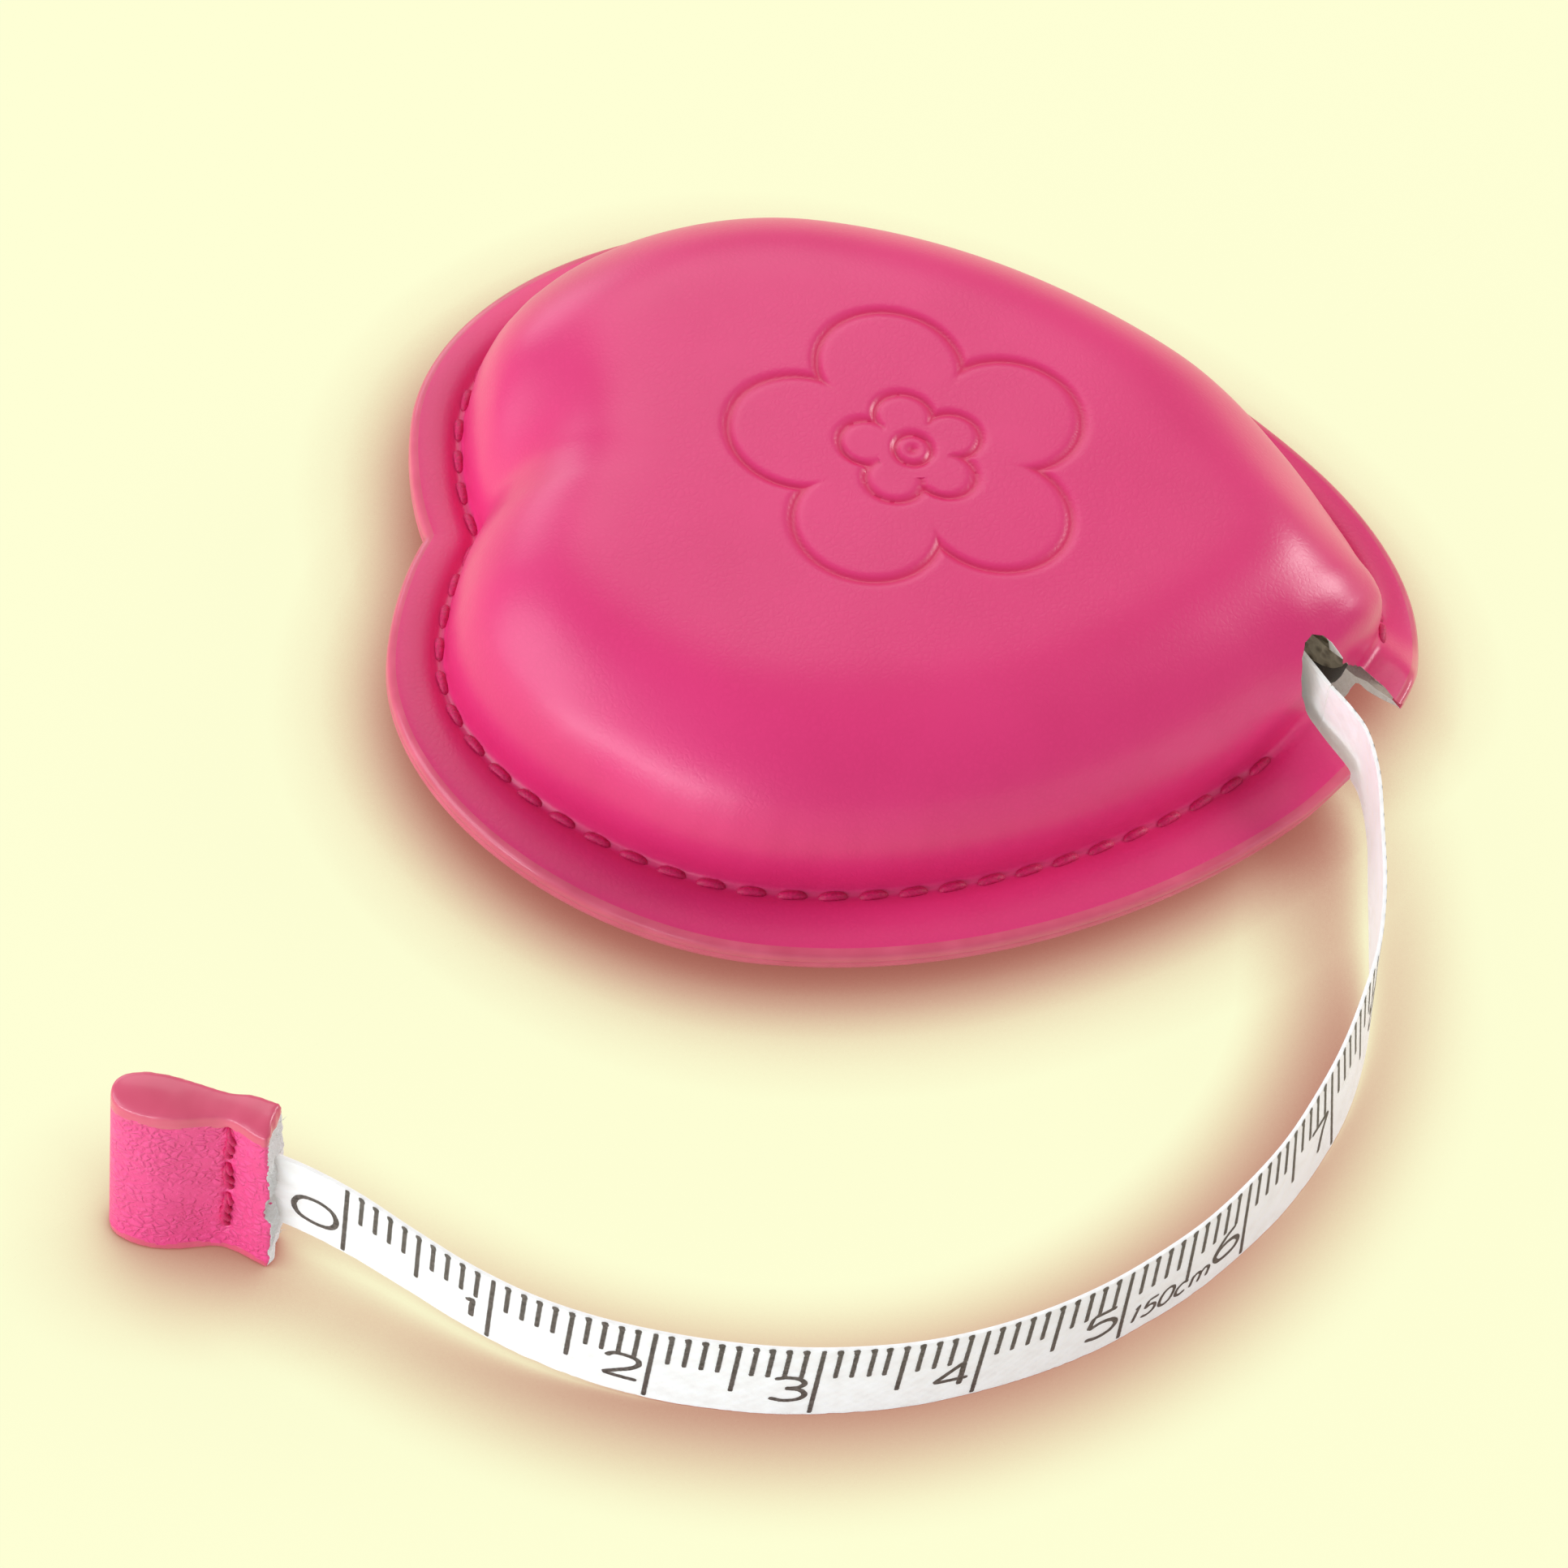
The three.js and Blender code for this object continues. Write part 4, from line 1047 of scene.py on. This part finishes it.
def printed_strokes():
    """Every stroke of the scale on the free run: two sides, by their reading and their height."""
    chance = np.random.default_rng(11)
    strokes = []
    top = TAPE_WIDTH / 2
    for i in range(0, 101):
        reach = 7.75 if i % 10 == 0 else 5.6 if i % 5 == 0 else 3.5
        heights = np.arange(top, top - reach * MM, -0.11 * MM)
        x = i * MM + chance.normal(0, 0.015 * MM)
        sides = ribbon(np.stack([np.full(len(heights), x), heights], axis=1), 0.3 * MM, 0, chance)
        # The squeegee leaves a saw edge on both sides, and a blot at the top
        saw = np.where(np.arange(len(heights)) % 2 == 0, 0.035 * MM, -0.02 * MM)
        for side in sides:
            side[:, 0] += saw + chance.uniform(-0.015, 0.015, len(saw)) * MM
        strokes.append(sides)
        if i % 10:
            blot = (x, top) + np.array([(-0.14, 0), (-0.05, -0.16), (0, -0.5)]) * MM
            strokes.append(ribbon(spaced(blot, 6), 0.4 * MM, 0.04 * MM, chance))
    for centimetre in range(0, 11):
        tall = (2.3 if centimetre == 1 else 2.8) * MM
        wide = {0: 2.8, 1: 1.5}.get(centimetre, 2.15) * MM
        right = centimetre * 10 * MM - 0.55 * MM
        for k, mark in enumerate(reversed(str(centimetre))):
            left = right - wide - k * (wide + 0.6 * MM)
            strokes += figure(mark, left, -2.2 * MM, wide, tall, 0.38 * MM, 0.015 * MM, chance)
    # The length of the whole tape, between the 5 and the 6
    left = 50.45 * MM
    for mark, wide, tall in zip("150cm", (0.7, 0.95, 1.0, 0.95, 1.35), (1.7, 1.7, 1.7, 1.85, 1.85)):
        strokes += figure(
            mark, left, -2.7 * MM, wide * MM, tall * MM, 0.27 * MM, 0.01 * MM, chance, slant=0.22,
        )
        left += (wide + 0.33) * MM
    return strokes


def build_print():
    """The scale: flat strokes that follow the tape's outer face, a hair above it."""
    bits = []
    end = free_line.length - ZERO_FROM_END
    for n, stroke in enumerate(printed_strokes()):
        along = np.clip(end - stroke[..., 0], 0, free_line.length)
        lift = np.full(along.shape, TAPE_THICK / 2 + 0.008 * MM)
        bits.append(wrap_grid(f"stroke_{n}", free_line.place(along, stroke[..., 1], lift), False))
    marks = join("printed_scale", bits, ink)
    # Every stroke faces away from the tape's middle
    middles = free_line.points[:, :2]
    for face in marks.data.polygons:
        nearest = np.argmin(((middles - face.center[:2]) ** 2).sum(axis=1))
        along = nearest / (len(middles) - 1) * free_line.length
        if np.dot(free_line.frame(along)[1], face.normal) < 0:
            face.flip()
    wear(marks, "tape", "coated_tape")
    return marks


def build_wound_tape():
    """The tape on the reel: one strip wound in touching turns from the drum out."""
    inner, outer, thick, gap = 13.0 * MM, 18.53 * MM, 0.4 * MM, 0.03 * MM
    bottom, top, facets = 3.0 * MM, 10.9 * MM, 72
    turns = (outer - inner) / thick - 1
    steps = int(turns * facets)
    rings = []
    for i in range(steps + 1):
        # The outer end lies where the straight run begins
        heading = 2 * math.pi * (i / facets - turns) + math.atan2(OFFSIDE[1], OFFSIDE[0])
        near = inner + thick * i / facets + gap
        far = near + thick - 2 * gap
        rings.append([
            (AXIS[0] + r * math.cos(heading), AXIS[1] + r * math.sin(heading), z)
            for r, z in ((near, bottom), (far, bottom), (far, top), (near, top))
        ])
    tape = wrap_grid("tape_winding", capped(rings))
    along = np.r_[0, np.arange(steps + 1), steps] / facets * 99
    across = np.tile([0, 0, 7.9, 7.9, 0], len(along))
    finish_tape(tape, np.repeat(along, 5), across, 0.0002 * MM)
    wear(tape, "reel", "coated_tape", "wound_tape")


# ---- The pull tab ----

TAB_TALL = 15 * MM
TAB_LINE = np.array([
    (-36.9, -50.1), (-37.8, -49.8), (-38.9, -49.45), (-40.2, -49.25), (-41.6, -49.2),
    (-43.0, -49.2), (-44.4, -49.1), (-45.6, -48.95), (-46.5, -48.87), (-47.0, -48.8),
]) * MM
TAB_THICK = np.array([2.5, 2.35, 2.0, 1.72, 2.1, 2.7, 2.95, 2.75, 2.1, 1.0]) * MM
RAW_END = -37.75 * MM
STITCH_X = -40.0 * MM
STITCHES = [(2.7 * MM, 6.2 * MM), (7.1 * MM, 9.6 * MM), (10.4 * MM, 13.7 * MM)]
LEAN = 0.05  # how far the tab's top leans back, as a share of its height


def tab_outline():
    """The tab seen from above: its front, round the fold and along its back, to the open end."""
    ahead, left = headings(TAB_LINE)
    front, back = (TAB_LINE + side * left * TAB_THICK[:, None] / 2 for side in (1, -1))
    fold = TAB_LINE[-1] + ahead[-1] * 0.12 * MM
    around = np.vstack([front, fold, back[::-1]])
    around = centripetal(np.c_[around, np.zeros(len(around))], 8)[:, :2]
    return np.vstack([spaced(around, 150), spaced(np.vstack([back[0], front[0]]), 20)[1:-1]])


def soft_noise(points, size):
    """Smooth noise from -1 to 1 at points, with features of about so many millimetres."""
    return np.array([noise.noise(Vector(p) / (size * MM)) for p in points])


def shape_tab(points):
    """Works the plain folded block into the worn tab. All is in millimetres."""
    x, y, z = points.T / MM
    middle = np.interp(x, TAB_LINE[::-1, 0] / MM, TAB_LINE[::-1, 1] / MM)
    side = np.where(y > middle, 1, -1)
    # The stitches sink into both faces, and most at their holes
    column = bell(x, STITCH_X / MM, 0.42)
    dent = np.zeros(len(x))
    for low, high in np.array(STITCHES) / MM:
        inside = 1 / (1 + np.exp((np.abs(z - (low + high) / 2) - (high - low) / 2) / 0.15))
        dent = np.maximum(dent, 0.12 * column * inside)
        for end in (low, high):
            dent = np.maximum(dent, 0.4 * bell(x, STITCH_X / MM, 0.3) * bell(z, end, 0.32))
    y -= side * dent
    # Between the stitches and the edges the layers belly out again
    y += side * 0.1 * bell(x, -38.4, 0.9) * (1 - bell(z, 0, 1.5))
    # The raw end: rough all over, with a chip out of its front layer
    raw = ease((x - RAW_END / MM) / 0.6)
    x -= np.clip((x + 41) / 4, 0, 1) * np.clip((z - 5) / 10, 0, 1) * 0.65
    rough = 0.13 * soft_noise(points, 0.9) + 0.09 * soft_noise(points, 0.33)
    front = np.clip(0.5 - (y - middle), 0, 1)
    chip = 0.75 * bell(z, 6.4, 0.75) + 0.3 * bell(z, 7.6, 0.4)
    x += raw * (rough - chip * front - 0.25 * bell(z, 0.6, 1.4) * (1 - front))
    # Edge paint lies on the top and bottom as a thick, smooth bead that runs in low waves
    top = np.clip((z - 13.7) / 0.7, 0, 1)
    bottom = np.clip((1.1 - z) / 0.6, 0, 1)
    bead = np.maximum(top * (1 - top) * 2 + top * 0.5, bottom * 0.5)
    y += side * 0.12 * bead * np.clip(np.abs(y - middle) / 0.5, 0, 1)
    z += np.clip((z - 9) / 6, 0, 1) * 0.14 * np.sin((x + 46.0) * 0.75)
    z += 0.05 * soft_noise(points, 1.6) * top
    z += 0.2 * top * np.clip(1 - (np.abs(y - middle) / 1.5) ** 2, 0, 1)
    # Hides are never quite flat
    y += side * 0.07 * soft_noise(points, 2.4) * (1 - top)
    y += LEAN * (z - TAB_TALL / MM / 2)
    return np.stack([x, y, z], axis=1) * MM


def build_tab():
    """Leather folded round the end of the tape: grained faces, painted upper and lower edges, and
    a raw, fibrous end where the strip was cut."""
    outline = tab_outline()
    levels = np.linspace(0, TAB_TALL, 16)
    tab = wrap_grid("leather_pull_tab", [at_height(outline, z) for z in levels])
    with editing(tab):
        bpy.ops.mesh.remove_doubles(threshold=0.004 * MM)
        bpy.ops.mesh.select_all(action="DESELECT")
        bpy.ops.mesh.select_non_manifold()
        bpy.ops.mesh.fill_holes(sides=0)
        bpy.ops.mesh.select_all(action="SELECT")
        bpy.ops.mesh.normals_make_consistent(inside=False)
    modify(tab, "REMESH", mode="VOXEL", voxel_size=0.13 * MM)
    modify(tab, "SMOOTH", factor=0.5, iterations=34)
    points = np.zeros(len(tab.data.vertices) * 3)
    tab.data.vertices.foreach_get("co", points)
    tab.data.vertices.foreach_set("co", shape_tab(points.reshape(-1, 3)).reshape(-1))
    tab.data.update()
    cover_with(tab, tab_leather, edge_paint, raw_white)

    def finish_of(face):
        x, _, z = face.center / MM
        if x > RAW_END / MM and face.normal.x > 0.5 and z < 14.3:
            return 2
        waver = 0.12 * math.sin(x * 1.9)
        return int(z > 14.1 + waver or z < 0.75 + waver)

    set_finishes(tab, [finish_of(face) for face in tab.data.polygons])
    cut(tab, pocket_cutter())
    smooth(tab)
    wear(tab, "tape", "tab_leather", "pull_tab")
    return tab


def pocket_cutter():
    """Room for the end of the tape between the two layers."""
    line = np.array([p[:2] for p in ROUTE[-3:]])
    first, last = (
        end + (end - line[1]) / np.linalg.norm(end - line[1]) * further * MM
        for end, further in ((line[0], 2), (line[2], 0.3))
    )
    line = np.vstack([first, line, last])
    left = headings(line)[1] * 0.34 * MM
    low, high = 2.95 * MM, 11.25 * MM
    cutter = wrap_grid("pocket_cutter", capped([
        [(*(p + a), low), (*(p - a), low), (*(p - a), high), (*(p + a), high)]
        for p, a in zip(line, left)
    ]))
    tidy_mesh(cutter)
    cover_with(cutter, raw_white)
    return cutter


def fuzz():
    """Loose white fibres that stand out of the raw end."""
    chance = np.random.default_rng(3)
    hairs = []
    for _ in range(150):
        z = chance.uniform(0.9, 13.9) * MM
        y = -50.05 * MM + chance.uniform(-1.05, 1.05) * MM + LEAN * (z - TAB_TALL / 2)
        if y < -50.2 * MM and 5.4 * MM < z < 8.2 * MM:
            continue
        root = Vector((-36.95 * MM + 0.33 * (y + 50.05 * MM) - max(z - 5 * MM, 0) * 0.065, y, z))
        way = Vector((1.0, chance.normal(0, 0.7), chance.normal(0, 0.9))).normalized()
        length = chance.uniform(0.15, 0.45) * MM
        hair = primitive(
            bpy.ops.mesh.primitive_cone_add, vertices=3, radius1=0.02 * MM, radius2=0.006 * MM,
            depth=length,
        )
        turn = way.to_track_quat("Z", "Y").to_matrix().to_4x4()
        hair.matrix_world = Matrix.Translation(root + way * length * 0.3) @ turn
        settle(hair)
        hairs.append(hair)
    made = join("raw_end_fibres", hairs, raw_white)
    wear(made, "tape", "tab_leather")
    return made


def hand_stitch(place, low, high, front):
    """One stitch of thick two-ply thread up the tab: it dives into its holes at both ends."""
    steps, sides = 30, 8
    out = -1 if front else 1
    face = -49.25 * MM + out * 0.78 * MM
    angles = [2 * math.pi * k / sides for k in range(sides)]
    plies = []
    for ply in (0, 1):
        rings = []
        for share in np.arange(steps + 1) / steps:
            z = low + (high - low) * share
            turn = math.pi * (ply + 2.0 * (high - low) * share / (1.9 * MM))
            bow = 1 - abs(2 * share - 1) ** 7
            size = 0.215 * MM * (0.75 + 0.25 * bow)
            x = STITCH_X + 0.15 * MM * math.cos(turn) + 0.08 * MM * math.sin(5 * share + low / MM)
            rise = (-0.5 + 0.62 * bow) * MM + 0.12 * MM * math.sin(turn)
            y = face + out * rise + LEAN * (z - TAB_TALL / 2)
            rings.append([(x + size * math.cos(a), y + size * math.sin(a), z) for a in angles])
        made = wrap_grid(f"{place}_{ply}", capped(rings))
        tidy_mesh(made)
        plies.append(made)
    stitch = join(f"hand_stitch_{place}", plies, thread)
    smooth(stitch)
    wear(stitch, "tape", "seam_thread", f"tab_stitch_{place}")
    return stitch


def build_hand_stitches():
    return [
        hand_stitch(f"{side}_{n}", low, high, side == "front")
        for side in ("front", "back") for n, (low, high) in enumerate(STITCHES, 1)
    ]


# ---- Build the pieces ----

def build_button_spring():
    """The button's return spring: a copy of its CAD part, with a mesh of its own."""
    select_only()
    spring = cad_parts["button_spring"].copy()
    spring.data = spring.data.copy()
    spring.name = spring.data.name = "button_return_spring"
    bpy.context.collection.objects.link(spring)
    tidy_mesh(spring, 0.004 * MM)
    cover_with(spring, steel)
    smooth(spring, 50)
    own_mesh(spring)
    wear(spring, "case", "spring_steel", "button_spring")


printed_tape = strip("printed_tape", free_line, 420, 0.035 * MM)
wear(printed_tape, "tape", "coated_tape", "free_tape")
build_print()
build_tab()
fuzz()
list(build_hand_stitches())
wear(strip("tape_in_the_mouth", inner_line, 40, 0), "tape", "coated_tape", "inner_run")
build_wound_tape()
build_top_cover()
build_bottom_cover()
for top in (True, False):
    build_seam_thread(top)
for top in (True, False):
    build_padding(top)
build_button_spring()

# The parts inside keep the shapes of their solids
for material, names in (
    (white_abs, ("case_base", "case_lid", "release_button")),
    (grey_acetal, ("reel_drum", "reel_flange", "spring_cover", "pawl_ring")),
    (steel, ("power_spring",)),
):
    for name in names:
        cover_with(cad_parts[name], material)


# ---- Floor and light ----

def build_floor():
    """A pale yellow sheet of paper. The camera and reflections see mostly a glow of its colour,
    darkened warmly into a painted shadow where the piece stands close over it, and a little real
    shadow from the lamps. Other rays meet a plain, greyer sheet, so that it doesn't tint the piece."""
    floor = primitive(bpy.ops.mesh.primitive_plane_add, size=3, location=(0, 0, -0.02 * MM))
    floor.name = "paper_floor"
    material, tree = start_material("pale_paper_with_painted_shadow")
    tree.nodes.remove(tree.nodes["Principled BSDF"])
    # Painted shadow: occlusion near the piece darkens the paper's colour warmly, and most of the
    # floor glows with that colour
    near = add_node(tree, "AmbientOcclusion", {"Distance": 8.5 * MM}, out="AO", samples=16)
    tint = add_node(tree, "ValToRGB", {"Fac": near}, stops=(
        (0.1, "8f433c"), (0.42, "b67667"), (0.65, "d6ae95"), (0.83, "efdeb9"), (0.94, "fbf7ce"),
        (1.0, "feffd5"),
    ))
    lit = add_node(tree, "BsdfDiffuse", {"Color": tint})
    plain = add_node(tree, "Emission", {"Color": tint, "Strength": 1.0})
    shown = add_node(tree, "MixShader", {0: 0.93, 1: lit, 2: plain})
    sheet = add_node(tree, "BsdfDiffuse", {"Color": linear("e9e4e2")})
    path = add_node(tree, "LightPath").node
    rays = path.outputs["Is Camera Ray"]
    for kind in ("Is Glossy Ray", "Is Transmission Ray"):
        rays = add_node(tree, "Math", {0: rays, 1: path.outputs[kind]}, operation="MAXIMUM")
    mixed = add_node(tree, "MixShader", {0: rays, 1: sheet, 2: shown})
    connect(tree, tree.nodes["Material Output"].inputs["Surface"], mixed)
    floor.data.materials.append(material)
    floor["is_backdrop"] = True


def build_light():
    """A white tent with cool softboxes on the left and in front, and one high on the right."""
    world = bpy.data.worlds.new("studio")
    bpy.context.scene.world = world
    world.use_nodes = True
    tree = world.node_tree
    tent = tree.nodes["Background"]
    tent.inputs["Color"].default_value = linear("fbfcff")
    tent.inputs["Strength"].default_value = 0.37
    seen = add_node(tree, "Background", {"Color": linear("feffd5")})
    rays = add_node(tree, "LightPath", out="Is Camera Ray")
    mixed = add_node(tree, "MixShader", {0: rays, 1: tent.outputs[0], 2: seen})
    connect(tree, tree.nodes["World Output"].inputs["Surface"], mixed)
    lamps = [
        ("left_softbox", (-0.8, -0.2, 0.4), (0.8, 0.8), 4.6, "e8f5fa"),
        ("front_left_softbox", (-0.64, -0.72, 0.08), (0.5, 0.4), 4.2, "e8f5fa"),
        ("front_card", (-0.36, -0.92, 0.1), (0.36, 0.3), 1.8, "eef7fc"),
        ("back_left_softbox", (-0.5, 0.75, 0.25), (0.6, 0.4), 1.5, "f2f9ff"),
        ("back_softbox", (-0.1, 0.7, 0.7), (0.6, 0.6), 1.8, "fffdfa"),
        ("right_softbox", (0.72, 0.34, 0.46), (0.4, 0.24), 4.0, "fffcfa"),
    ]
    aim = Vector((0, -0.01, 0.005))
    for name, spot, size, power, colour in lamps:
        data = bpy.data.lights.new(name, "AREA")
        data.shape = "ELLIPSE"
        data.size, data.size_y = size
        data.energy = power
        data.color = linear(colour)[:3]
        lamp = bpy.data.objects.new(name, data)
        bpy.context.collection.objects.link(lamp)
        turn = (aim - Vector(spot)).to_track_quat("-Z", "Y").to_matrix().to_4x4()
        lamp.matrix_world = Matrix.Translation(spot) @ turn


build_floor()
build_light()
bpy.context.scene.view_settings.view_transform = "Standard"

boxes = {"cad": cad_box, "visual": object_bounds()}
boxes = {name: [[float(v) for v in corner] for corner in box] for name, box in boxes.items()}
